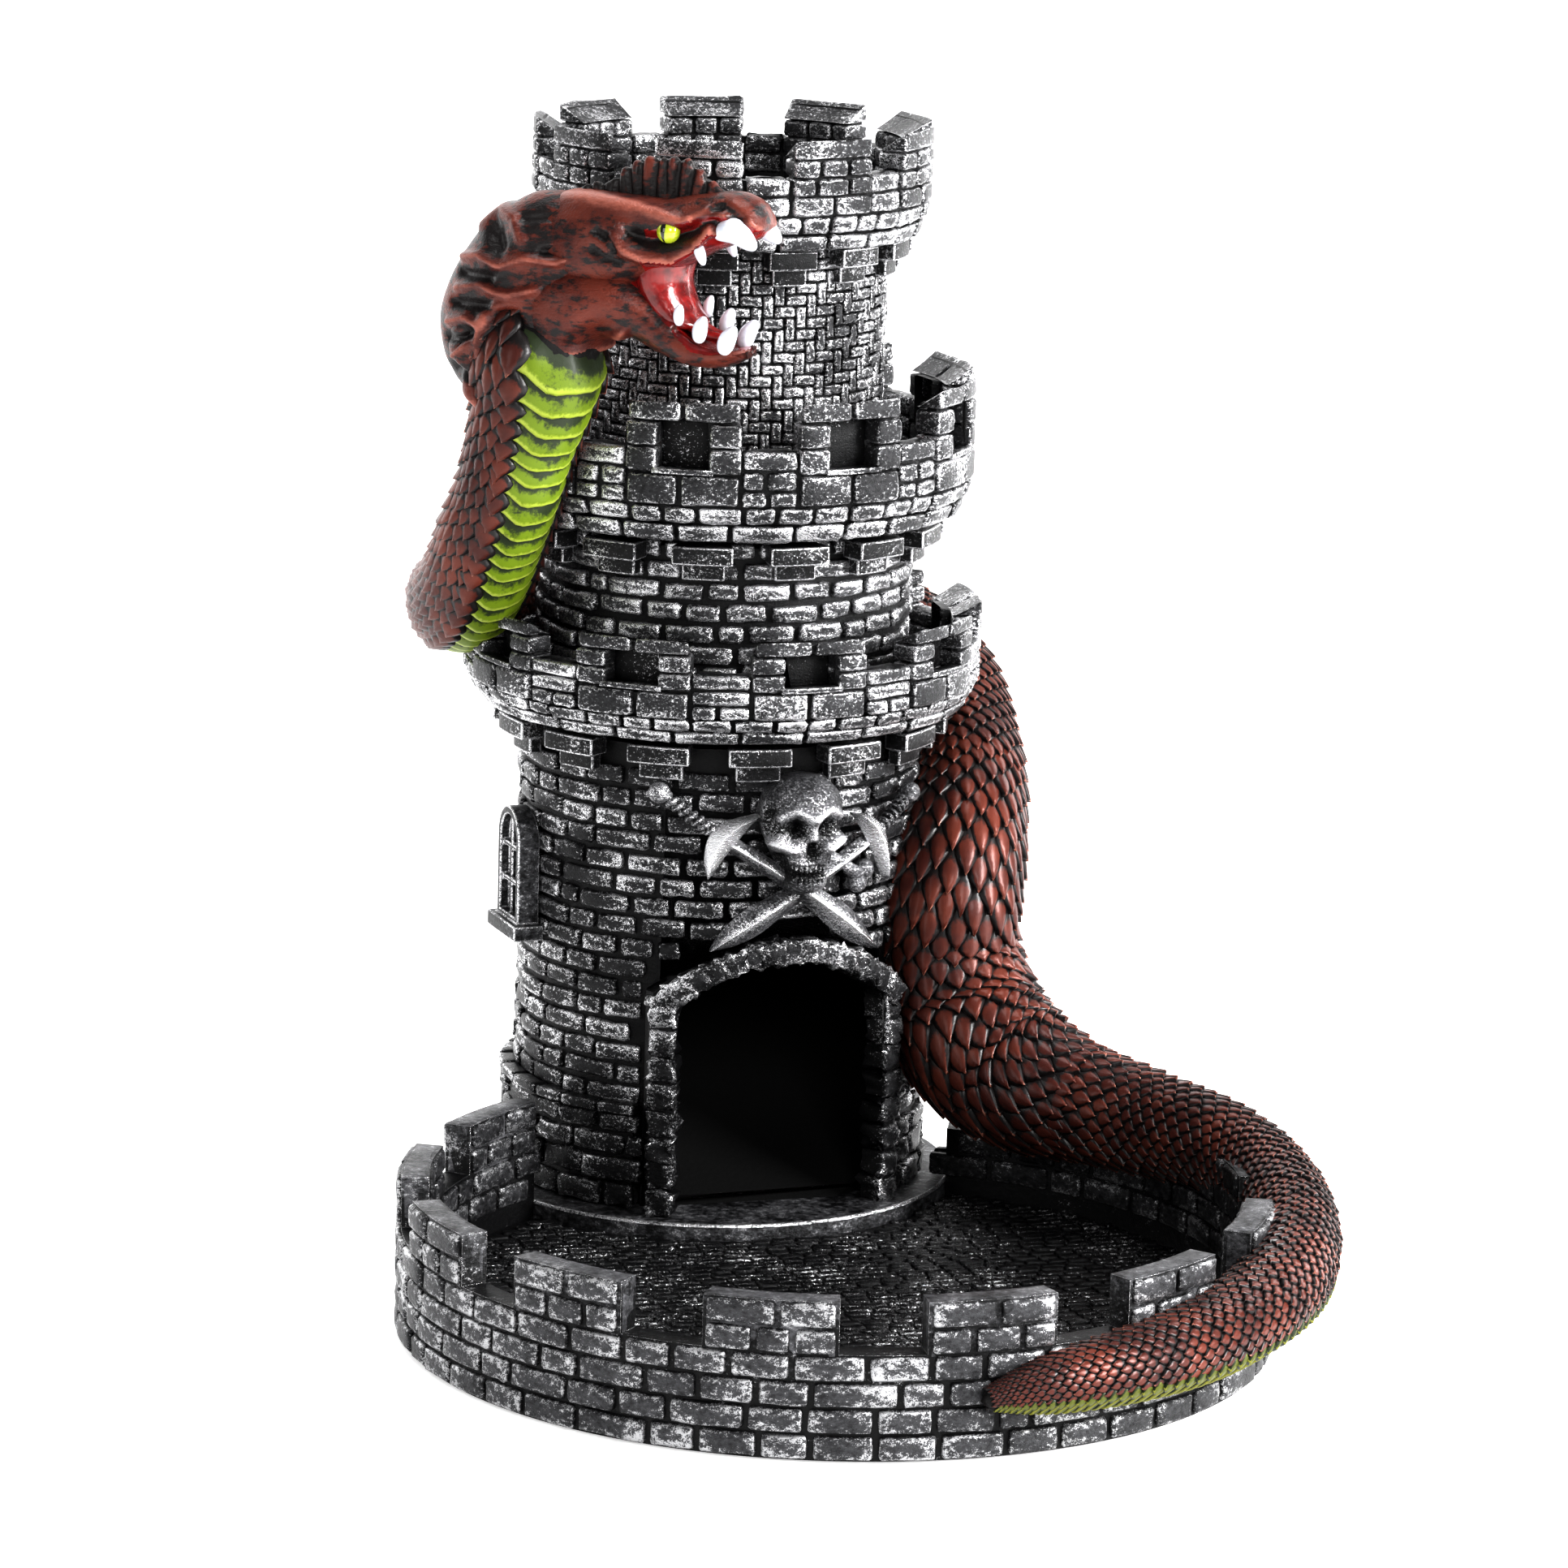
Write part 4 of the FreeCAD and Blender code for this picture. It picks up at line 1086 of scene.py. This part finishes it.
def press(piece, strokes, plane=(0, 2), side=None):
    """Works a skin with a tool, seen from its side: each stroke is a line, a radius and how far it lifts (or sinks)
    the skin. Lifted skin is marked for the lighter paint, which on the snake's red skin is a painted highlight, and
    sunken skin to hold the black."""
    points = points_of(piece)
    normals = np.empty(len(points) * 3)
    piece.data.vertices.foreach_get("normal", normals)
    normals = normals.reshape(-1, 3)
    relief = np.empty(len(points), dtype=np.float32)
    piece.data.attributes["relief"].data.foreach_get("value", relief)
    flat = points[:, plane]
    moved = np.zeros(len(points))
    for line, radius, height in strokes:
        fall = np.exp(-((along_line(flat, line) / radius) ** 2))
        if side is not None:
            fall = fall * np.clip(side(points), 0, 1)
        moved += fall * height
        relief += (fall * np.clip(height * 1.25, -1.1, 0.9)).astype(np.float32)
    set_points(piece, points + normals * moved[:, None])
    mark(piece, "relief", np.clip(relief, -1.0, 1.6))


def place_on_snake(piece):
    set_points(piece, head_to_world(points_of(piece)))


def near(line, s=6.0):
    """Turns a line drawn where it is seen on the flank into head places."""
    return [(f + 0.43 * s, u + 0.21 * s) for f, u in line]


HOOD_RIDGES = (
    ([(-14.2, -2.4), (-11.5, -1.8), (-8.4, -2.7), (-5.4, -1.6), (-2.0, -1.9), (0.7, -1.0), (2.6, 0.1)], 0.55, 0.75),
    ([(-14.4, -5.8), (-12.8, -5.4), (-10.8, -4.9), (-9.1, -5.6), (-7.1, -5.9), (-4.0, -5.0)], 0.55, 0.75),
    ([(-15.2, -9.6), (-12.5, -8.8), (-10.9, -9.5), (-9.1, -7.3), (-6.6, -6.9)], 0.55, 0.8),
    ([(-14.4, -13.4), (-12.4, -11.9), (-10.9, -10.6), (-9.4, -9.0)], 0.5, 0.7),
    ([(-10.9, -10.6), (-10.5, -14.5)], 0.45, 0.6),
    ([(-12.8, 1.2), (-10.6, 3.2), (-7.6, 2.6), (-6.0, 0.4)], 0.6, 0.6),
    ([(-13.4, -15.6), (-11.4, -17.8), (-9.9, -19.6)], 0.7, 0.9),
)
HOOD_HOLLOWS = (
    ([(-10.0, 1.0), (-9.2, -0.2)], 1.1, -1.2),
    ([(-14.2, -3.9), (-9.8, -4.0)], 0.6, -0.8),
    ([(-14.8, -7.3), (-9.6, -7.2)], 0.65, -0.9),
    ([(-15.4, -11.4), (-11.4, -10.6)], 0.7, -0.9),
    ([(-15.0, -14.9), (-10.0, -15.6)], 0.8, -1.3),
    ([(-3.4, -0.6), (-1.0, -0.5), (0.8, -0.1)], 0.45, -0.7),
    ([(-7.0, -8.4), (-6.0, -12.0), (-6.5, -15.0)], 1.3, -1.8),
    ([(-8.6, -11.5), (-8.4, -16.0)], 0.7, -0.9),
    ([(-6.5, 2.8), (-3.0, 3.2), (1.5, 2.6)], 0.5, -0.4),
)


def build_hood():
    table = (
        (-16.8, -13.0, -8.0, 2.0), (-14.6, -14.2, -4.5, 5.2), (-12, -15.4, 1.0, 7.2), (-8, -16, 5.0, 7.6), (-4, -14.9, 6, 7.2),
        (0, -12.6, 5, 6.8), (3.4, -9.8, 4, 5.6), (5.6, -6.6, 3, 3.6), (6.9, -4, 1, 1),
    )
    sections = [((back + front) / 2, 0.6, up, half, (front - back) / 2, 90.0) for up, back, front, half in table]
    hood = lofted("hood", sections, 130, 120, 0.05)
    mark(hood, "relief", 0.46)
    press(hood, [(near(line), r, h) for line, r, h in HOOD_RIDGES + HOOD_HOLLOWS])
    flap = lofted("hood_flap", (
        (-10.2, 4.4, -6.5, 2.6, 2.2, 90), (-10.6, 4.8, -11.0, 2.8, 2.5, 90), (-10.0, 5.0, -14.2, 2.2, 1.7, 90),
        (-8.7, 5.0, -17.0, 1.7, 1.3, 90), (-7.2, 4.8, -18.9, 0.8, 0.5, 90),
    ), 70, 48, 0.08)
    press(flap, [
        ([(-12.6, -13.2), (-10.0, -14.4), (-7.6, -14.6)], 0.55, -1.0), ([(-11.0, -16.0), (-9.2, -17.0), (-7.4, -18.8)], 0.6, 0.6),
        ([(-8.2, -11.0), (-8.4, -14.0)], 0.4, 0.4), ([(-12.4, -10.2), (-9.0, -9.6)], 0.5, -0.8),
    ])
    hood = join([hood, flap], "hood_and_flap")
    place_on_snake(hood)
    deliver(hood, [PAINTS["skin"]], ["snake_hood"])


def build_head():
    sections = (
        (-3.5, 0, 1, 5.4, 4.6, 4), (0, 0, 1.0, 6.2, 5.3, 4), (3, 0, 1, 6.8, 5.7, 4), (8, 0, 1.8, 6.8, 5.2, 6),
        (12.5, 0, 2.9, 5.8, 4.2, 10), (16.5, 0, 4.4, 4.8, 3.4, 12), (20.5, 0, 5.3, 4.0, 2.9, 4), (24, 0, 4.9, 2.6, 1.9, -10),
    )
    head = lofted("head", sections, 120, 112, 0.07, 2.3)
    press(head, [
        (near([(-4.7, 5.4), (2.1, 5.2), (7.0, 4.9), (10.9, 4.3), (14.2, 3.6)], 5), 0.75, 0.75),
        (near([(5.4, 1.6), (6.6, 0.4), (8.8, -0.5), (11.5, -0.6), (14.0, 1.0), (16.2, 3.4)], 5.5), 0.6, 0.85),
        (near([(7.4, 2.2), (9.6, 1.6), (11.6, 1.5), (13.4, 2.4), (14.6, 3.0)], 5.5), 0.95, -1.5),
        (near([(5.9, 2.9), (7.2, 1.7)], 5.5), 0.35, 0.55),
        (near([(3.0, 2.2), (5.0, 1.2), (5.4, 0.1)], 6), 0.5, -0.8),
        (near([(2.7, 0.2), (4.4, -0.9), (6.0, -1.3)], 6), 0.45, -0.7),
        (near([(14.6, 4.4), (16.4, 5.4), (18.4, 5.0)], 4), 0.55, 0.6),
        (near([(17.2, 5.6), (18.6, 6.3), (20.4, 5.0)], 4), 0.5, -0.6),
        (near([(19.6, 6.8), (21.4, 5.6), (22.4, 4.2)], 2), 0.5, 0.6),
        (near([(20.6, 4.8), (20.8, 3.8)], 2), 0.45, -0.7),
        (near([(15.2, 2.0), (16.6, 3.0), (17.6, 3.0)], 4.5), 0.45, 0.5),
        (near([(16.3, 4.0), (17.2, 4.4), (18.6, 3.9)], 4.5), 0.4, -0.5),
    ])
    points = points_of(head)
    face_middle = np.array([face.center[:] for face in head.data.polygons]) / MM
    face_out = np.array([face.normal[:] for face in head.data.polygons])
    inside = (face_out[:, 2] < -0.42) & (face_middle[:, 0] > 11.0)
    place_on_snake(head)
    deliver(head, [PAINTS["skin"], PAINTS["mouth"]], ["snake_head"])
    head.data.polygons.foreach_set("material_index", inside.astype(np.int32))


def build_jaw():
    sections = (
        (-6.0, 0, -4.8, 5.4, 3.6, 0), (-2.0, 0, -6.2, 7.6, 6.0, 0), (2.0, 0, -6.2, 7.9, 6.3, -6), (6.5, 0, -5.2, 6.8, 4.6, -24),
        (10, 0, -6.4, 5.6, 3.3, -34), (13.4, 0, -8.7, 4.9, 2.5, -30), (16.5, 0, -10.0, 4.3, 1.9, -14),
        (19.5, 0, -10.0, 3.4, 1.6, 4), (22.4, 0, -8.9, 2.2, 1.2, 26),
    )
    jaw = lofted("jaw", sections, 110, 96, 0.06, 2.2)
    points = points_of(jaw)
    trough = np.exp(-((points[:, 1] / 2.9) ** 4)) * np.clip((points[:, 0] - 10.5) / 3.0, 0, 1)
    normals = np.array([v.normal[:] for v in jaw.data.vertices])
    points[:, 2] -= 1.3 * trough * (normals[:, 2] > 0.2)
    set_points(jaw, points)
    press(jaw, [
        (near([(8.0, -2.4), (9.4, -3.6), (10.6, -5.6), (12.0, -8.0)], 5.0), 0.4, 0.6),
        (near([(-3.4, -9.7), (0.0, -11.3), (2.2, -11.4), (4.9, -9.6), (7.3, -8.4)], 3.0), 0.5, 0.7),
        (near([(-4.6, -7.0), (-5.4, -9.0), (-4.2, -11.0)], 3.0), 0.9, -1.0),
        (near([(7.0, -7.8), (8.8, -8.8), (10.6, -10.2), (12.4, -11.9)], 3.4), 0.8, -0.12),
    ])
    face_middle = np.array([face.center[:] for face in jaw.data.polygons]) / MM
    face_out = np.array([face.normal[:] for face in jaw.data.polygons])
    inside = (face_out[:, 2] > 0.25) & (face_middle[:, 0] > 8.5) & (np.abs(face_middle[:, 1]) < 4.3)
    place_on_snake(jaw)
    deliver(jaw, [PAINTS["skin"], PAINTS["mouth"]], ["snake_jaw"])
    jaw.data.polygons.foreach_set("material_index", inside.astype(np.int32))


def build_crest():
    outline = (
        (-0.6, 5.8, 0.5), (1.6, 7.9, 0.7), (4.2, 8.3, 0.8), (6.4, 10.0, 0.85), (8.8, 11.2, 0.9), (11.4, 11.4, 0.95), (14, 11.3, 0.9),
        (16, 9.8, 0.9), (18.4, 8.2, 1.0), (20.4, 7.6, 0.9),
    )
    sections = [(f, 0, (top + 4.2) / 2, half, (top - 4.2) / 2, 0) for f, top, half in outline]
    crest = lofted("crest", sections, 140, 56, 0.05, 2.6)
    mark(crest, "relief", 0.42)
    strokes = []
    for f, lean, low, deep in (
        (1.7, 0.5, 6.6, 0.40), (3.3, 0.6, 7.0, 0.30), (5.3, 0.2, 6.2, 0.44), (6.9, 0.4, 7.4, 0.34), (8.3, 0.1, 6.4, 0.44),
        (10.2, -0.2, 6.8, 0.36), (11.4, 0.1, 8.0, 0.40), (12.9, -0.3, 6.6, 0.44), (14.6, -0.6, 7.2, 0.34), (16.4, -0.5, 6.6, 0.4),
    ):
        strokes.append(([(f - lean, 12.5), (f, 9.0), (f + lean * 0.6, low)], 0.34, -deep))
        strokes.append(([(f + 0.8 - lean, 12.5), (f + 0.8, 9.2)], 0.45, 0.22))
    press(crest, strokes)
    place_on_snake(crest)
    deliver(crest, [PAINTS["skin"]], ["snake_crest"])


def tooth(name, root, middle, tip, radius):
    """A curved tooth, fat at its root."""
    line = smooth_through([root, middle, tip], 8)
    clear_selection()
    bpy.ops.mesh.primitive_uv_sphere_add(segments=20, ring_count=18, radius=1.0, location=(0, 0, 0))
    piece = named(bpy.context.object, name)
    p = points_of(piece) * MM
    t = (1 - p[:, 2]) / 2
    place = np.linspace(0, 1, len(line))
    middle = np.stack([np.interp(t, place, line[:, i]) for i in range(3)], axis=-1)
    along = np.array(tip) - np.array(root)
    along /= np.linalg.norm(along)
    first = np.cross(along, (0, 0, 1.0))
    first /= np.linalg.norm(first)
    second = np.cross(along, first)
    ring = np.hypot(p[:, 0], p[:, 1])
    girth = radius * ring ** 0.8 * (1.05 - 0.4 * t)
    angle = np.arctan2(p[:, 1], p[:, 0])
    set_points(piece, middle + girth[:, None] * (np.cos(angle)[:, None] * first + np.sin(angle)[:, None] * second))
    face_outward(piece)
    place_on_snake(piece)
    return piece


def build_teeth():
    upper = []
    for side in (-1, 1):
        upper.append(tooth("fang", (18.9, 3.2 * side, 4.2), (21.4, 3.5 * side, 4.2), (24.0, 3.5 * side, 2.5), 1.7))
        upper.append(tooth("small_fang", (17.0, 4.0 * side, 2.6), (17.5, 4.2 * side, 1.4), (18.0, 4.3 * side, 0.2), 0.75))
    fangs = join(upper, "upper_fang_set")
    deliver(fangs, [PAINTS["tooth"]], ["upper_fangs"])
    lower = []
    for side in (-1, 1):
        for root, tip, radius in (
            ((14.9, 3.9, -6.9), (15.2, 4.3, -4.4), 0.72), ((17.2, 3.6, -8.7), (18.0, 3.9, -5.6), 1.0),
            ((19.8, 2.7, -9.9), (21.4, 3.0, -6.6), 1.15),
        ):
            root, tip = np.array(root) * (1, side, 1), np.array(tip) * (1, side, 1)
            lower.append(tooth("lower_tooth", root, (root + tip) / 2 + (-0.1, 0, 0.2), tip, radius))
    teeth = join(lower, "lower_tooth_set")
    deliver(teeth, [PAINTS["tooth"]], ["lower_teeth"])


def build_mouth():
    lining = lofted("mouth_lining", (
        (13.5, 0, 3.4, 3.6, 2.6, 90), (11.8, 0, 1.0, 4.6, 3.4, 90), (11.2, 0, -2.2, 4.8, 3.0, 90), (12.4, 0, -5.2, 4.4, 2.8, 90),
        (15.0, 0, -7.8, 3.4, 2.2, 90),
    ), 48, 48, 0.1)
    tongue = lofted("tongue", (
        (10.5, 0, -4.0, 2.0, 1.2, -40), (13.5, 0, -6.0, 2.2, 1.1, -34), (16.8, 0, -8.0, 1.8, 0.8, -22),
        (19.4, 0, -8.4, 1.1, 0.55, 8),
    ), 40, 32, 0.12)
    press(tongue, [([(10, 0.0), (20, 0.0)], 0.4, -0.45)], plane=(0, 1))
    whole = join([lining, tongue], "mouth_and_tongue")
    place_on_snake(whole)
    deliver(whole, [PAINTS["mouth"]], ["snake_tongue"])


def build_eyes():
    eyes = []
    for side in (-1, 1):
        clear_selection()
        bpy.ops.mesh.primitive_uv_sphere_add(segments=40, ring_count=28, radius=1.45 * MM, location=(0, 0, 0))
        eye = bpy.context.object
        points = points_of(eye)
        reach = np.abs(points[:, 0] + 0.15)
        slit = np.clip(1.3 - reach / 0.42 - np.abs(points[:, 2] - 0.5) / 3.0, 0, 1) * (points[:, 1] * side > 0)
        mark(eye, "slit", slit)
        set_points(eye, points * 0.94 + (13.7, 4.6 * side, 3.75))
        place_on_snake(eye)
        eyes.append(eye)
    whole = join(eyes, "cobra_eyes")
    deliver(whole, [PAINTS["eye"]], ["snake_eyes"])


# ---- trophy -------------------------------------------------------------------------------------
def build_skull():
    """The skull over the door, worked from a ball."""
    sections = (
        (44.6, 1.5, 1.2, 26.2), (45.4, 2.5, 1.9, 26.4), (47.0, 3.1, 2.3, 26.6), (48.8, 3.7, 2.6, 26.3), (50.4, 4.4, 3.3, 26.2),
        (52.4, 5.0, 4.2, 25.7), (54.6, 5.1, 4.6, 25.2), (56.8, 4.2, 3.9, 25.0), (58.2, 2.4, 2.2, 24.9), (58.6, 1.0, 1.0, 24.9),
    )
    rows = [(out, 0, z, half, deep, 90) for z, half, deep, out in sections]
    skull = lofted("skull_relief", rows, 110, 110, 0.05, 2.15)
    strokes = [
        ([(-2.35, 52.7)], 1.45, -3.2), ([(2.35, 52.7)], 1.45, -3.2), ([(0.0, 50.5), (0.0, 49.6)], 0.7, -1.7),
        ([(-4.0, 54.0), (-2.2, 54.9), (-0.6, 54.0)], 0.6, 0.55), ([(4.0, 54.0), (2.2, 54.9), (0.6, 54.0)], 0.6, 0.55),
        ([(-4.2, 51.2), (-2.4, 50.5)], 0.6, 0.8), ([(4.2, 51.2), (2.4, 50.5)], 0.6, 0.8),
        ([(-3.6, 49.0), (-3.0, 47.4)], 0.8, -1.0), ([(3.6, 49.0), (3.0, 47.4)], 0.8, -1.0),
        ([(-2.2, 47.3), (0, 47.1), (2.2, 47.3)], 0.28, -0.8), ([(-5.0, 54.6), (-4.9, 52.6)], 0.8, -0.6),
        ([(5.0, 54.6), (4.9, 52.6)], 0.8, -0.6), ([(0.0, 54.0), (0.0, 51.4)], 0.45, 0.4),
    ]
    strokes += [([(x, 48.3), (x, 46.3)], 0.15, -0.45) for x in (-1.5, -0.9, -0.3, 0.3, 0.9, 1.5)]
    press(skull, strokes, plane=(1, 2), side=lambda p: (p[:, 0] - 25.4) / 1.0)
    out, x, z = points_of(skull).T
    angle = math.radians(6.4)
    set_points(skull, np.stack([
        out * math.sin(angle) + x * math.cos(angle), KEEP_Y - out * math.cos(angle) + x * math.sin(angle), z], axis=-1))
    relief = np.empty(len(skull.data.vertices), dtype=np.float32)
    skull.data.attributes["relief"].data.foreach_get("value", relief)
    mark(skull, "rim", np.clip((relief - 0.75) * 1.5, 0, 1))
    deliver(skull, [PAINTS["relief"]], ["skull"])


SWORDS = {
    "sword_left": ((30.5, 37.4), (-13.5, 50.9), (-31.2, 56.4), 1.9),
    "sword_right": ((-18.4, 38.3), (27.7, 49.9), (45.0, 54.4), 1.3),
}


def onto_drum(piece):
    """Wraps a piece drawn flat (along the wall, out of it, up) round the lower drum."""
    along, out, up = points_of(piece).T
    set_points(piece, polar(np.degrees(along / 25.0), 24.0 + out, up))


def build_sword(node, tip, guard, pommel, proud):
    """A curved sword in relief: ridged blade, leaf-shaped guard, bound grip and a ball for its pommel."""
    tip, guard, pommel = (np.array([math.radians(azimuth) * 25.0, z]) for azimuth, z in (tip, guard, pommel))
    way = (tip - guard) / np.linalg.norm(tip - guard)
    left = np.array([-way[1], way[0]])
    length = np.linalg.norm(tip - guard)
    bow = -1.2 if way[0] > 0 else 1.2
    blade = []
    for t, half in ((0.0, 0.9), (0.3, 1.05), (0.55, 1.35), (0.75, 1.7), (0.9, 1.1), (1.0, 0.12)):
        middle = guard + way * length * t + left * bow * (t * t * 1.6 - t)
        turn = math.degrees(math.atan2(way[1], way[0])) + math.degrees(math.atan(bow * (3.2 * t - 1) / length))
        blade.append((middle[0], proud, middle[1], 1.25, half, turn))
    pieces = [lofted(node + "_blade", blade, 80, 40, 0.03, 1.15)]
    leaf = []
    across = math.degrees(math.atan2(left[1], left[0]))
    for t, half in ((-1.0, 0.1), (-0.7, 0.8), (-0.3, 1.3), (0.1, 1.45), (0.5, 1.1), (0.85, 0.5), (1.0, 0.1)):
        middle = guard + left * 4.7 * t + way * (1.5 * t * t - 0.7)
        leaf.append((middle[0], proud + 0.9, middle[1], 1.3, half, across))
    pieces.append(lofted(node + "_guard", leaf, 60, 40, 0.03, 1.2))
    reach = pommel - guard
    turn = math.degrees(math.atan2(-reach[1], -reach[0]))
    grip = [(*(guard + reach * t)[[0]], proud + 0.2, (guard + reach * t)[1], 0.95, 0.85, turn) for t in (0.1, 0.4, 0.7, 0.95)]
    grip = lofted(node + "_grip", grip, 90, 40, 0.05)
    side = np.array([-reach[1], reach[0]]) / np.linalg.norm(reach)
    rings = [(guard + reach * t - side * 1.4 - reach * 0.03, guard + reach * t + side * 1.4 + reach * 0.03) for t in np.linspace(0.2, 0.86, 8)]
    press(grip, [([a, b], 0.2, -0.4) for a, b in rings])
    ball = lofted(node + "_pommel", [(pommel[0] + x, proud + 0.4, pommel[1], 1.25, 1.25, 0) for x in (-1.25, 0, 1.25)], 24, 24, 0.5)
    pieces += [grip, ball]
    for piece in pieces[:2]:
        points = points_of(piece)
        mark(piece, "rim", np.clip((points[:, 1] - proud - 0.7) / 0.5, 0, 1))
    sword = join(pieces, node + "_relief")
    onto_drum(sword)
    deliver(sword, [PAINTS["relief"]], [node], 50)


def build_trophy():
    build_skull()
    for node, (tip, guard, pommel, proud) in SWORDS.items():
        build_sword(node, tip, guard, pommel, proud)
    bone = casting("crossbone", "bone", bevel=0.16)
    mark(bone, "relief", 0.75)
    mark(bone, "rim", 0.15)
    deliver(bone, [PAINTS["relief"], PAINTS["edge"]], ["crossbone"], 40)


# ---- carried pieces -----------------------------------------------------------------------------
def paint_carried():
    """Pieces that stay as they are in the CAD, with their slots painted."""
    for node, paint in (("base_pad", "felt"), ("upper_baffle", "inner"), ("lower_baffle", "inner"), ("exit_ramp", "inner")):
        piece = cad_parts[node]
        for slot in piece.material_slots:
            slot.material = PAINTS[paint]


# ---- stage --------------------------------------------------------------------------------------
def area_light(name, place, target, size, power, size_y=None):
    data = bpy.data.lights.new(name, "AREA")
    data.energy = power
    data.size = size
    if size_y:
        data.shape, data.size_y = "RECTANGLE", size_y
    lamp = bpy.data.objects.new(name, data)
    lamp.location = place
    lamp.rotation_euler = (Vector(target) - Vector(place)).to_track_quat("-Z", "Y").to_euler()
    bpy.context.scene.collection.objects.link(lamp)
    return lamp


def build_stage():
    clear_selection()
    bpy.ops.mesh.primitive_plane_add(size=4.0, location=(0, 0.4, -0.0002))
    floor = bpy.context.object
    settle(floor)
    named(floor, "floor")
    edit(floor, "EDGE", False)
    cage = bmesh.from_edit_mesh(floor.data)
    for edge in cage.edges:
        edge.select_set(all(vert.co.y > 2.0 for vert in edge.verts))
    bmesh.update_edit_mesh(floor.data)
    bpy.ops.mesh.extrude_region_move(TRANSFORM_OT_translate={"value": (0, 0.4, 0.5)})
    bpy.ops.mesh.extrude_region_move(TRANSFORM_OT_translate={"value": (0, 0.1, 2.5)})
    leave_edit()
    paint = Paint("studio_floor")
    cloud = paint.noise(90.0, 2.0)
    floor.data.materials.append(paint.surface(color=paint.blend(cloud, (0.88, 0.88, 0.88), (0.90, 0.90, 0.90)), rough=0.6, glow=0.6))

    world = bpy.data.worlds.new("studio")
    bpy.context.scene.world = world
    world.use_nodes = True
    world.node_tree.nodes["Background"].inputs[0].default_value = (1.0, 1.0, 1.0, 1.0)
    world.node_tree.nodes["Background"].inputs[1].default_value = 0.24

    target = (0.0, 0.03, 0.065)
    area_light("key_softbox", (0.70, -0.46, 0.40), target, 0.26, 20.0, 0.45)
    area_light("front_softbox", (0.05, -0.95, 0.55), target, 0.35, 5.0)
    area_light("fill_softbox", (-0.75, -0.35, 0.35), target, 0.3, 1.6, 0.5)
    area_light("top_softbox", (0.1, 0.15, 0.85), target, 0.4, 4.0)
    area_light("rim_left", (-0.55, 0.55, 0.25), target, 0.25, 2.0, 0.6)
    area_light("rim_right", (0.62, 0.40, 0.25), target, 0.25, 3.0, 0.6)
    area_light("backdrop_wash", (0.0, 1.2, 1.3), (0.0, 2.4, 0.6), 1.5, 60.0)


def build_camera():
    data = bpy.data.cameras.new("camera")
    data.lens, data.sensor_width = 153.2, 36.0
    camera = bpy.data.objects.new("camera", data)
    ahead = Vector((0.27983, 0.93651, -0.21130)).normalized()
    turn = ahead.to_track_quat("-Z", "Y").to_matrix() @ Matrix.Rotation(math.radians(1.474), 3, "Z")
    camera.matrix_world = Matrix.Translation((-0.21608, -0.69800, 0.22111)) @ turn.to_4x4()
    bpy.context.scene.collection.objects.link(camera)
    bpy.context.scene.camera = camera


build_camera()
build_stage()
build_drums()
build_plinth()
build_galleries()
build_castings()
build_door_surround()
build_tray()
build_snake()
build_hood()
build_head()
build_jaw()
build_crest()
build_teeth()
build_mouth()
build_eyes()
build_trophy()
paint_carried()

bpy.context.scene.view_settings.view_transform = "Standard"
bpy.context.scene.view_settings.look = "None"
bpy.context.scene.view_settings.gamma = 0.8
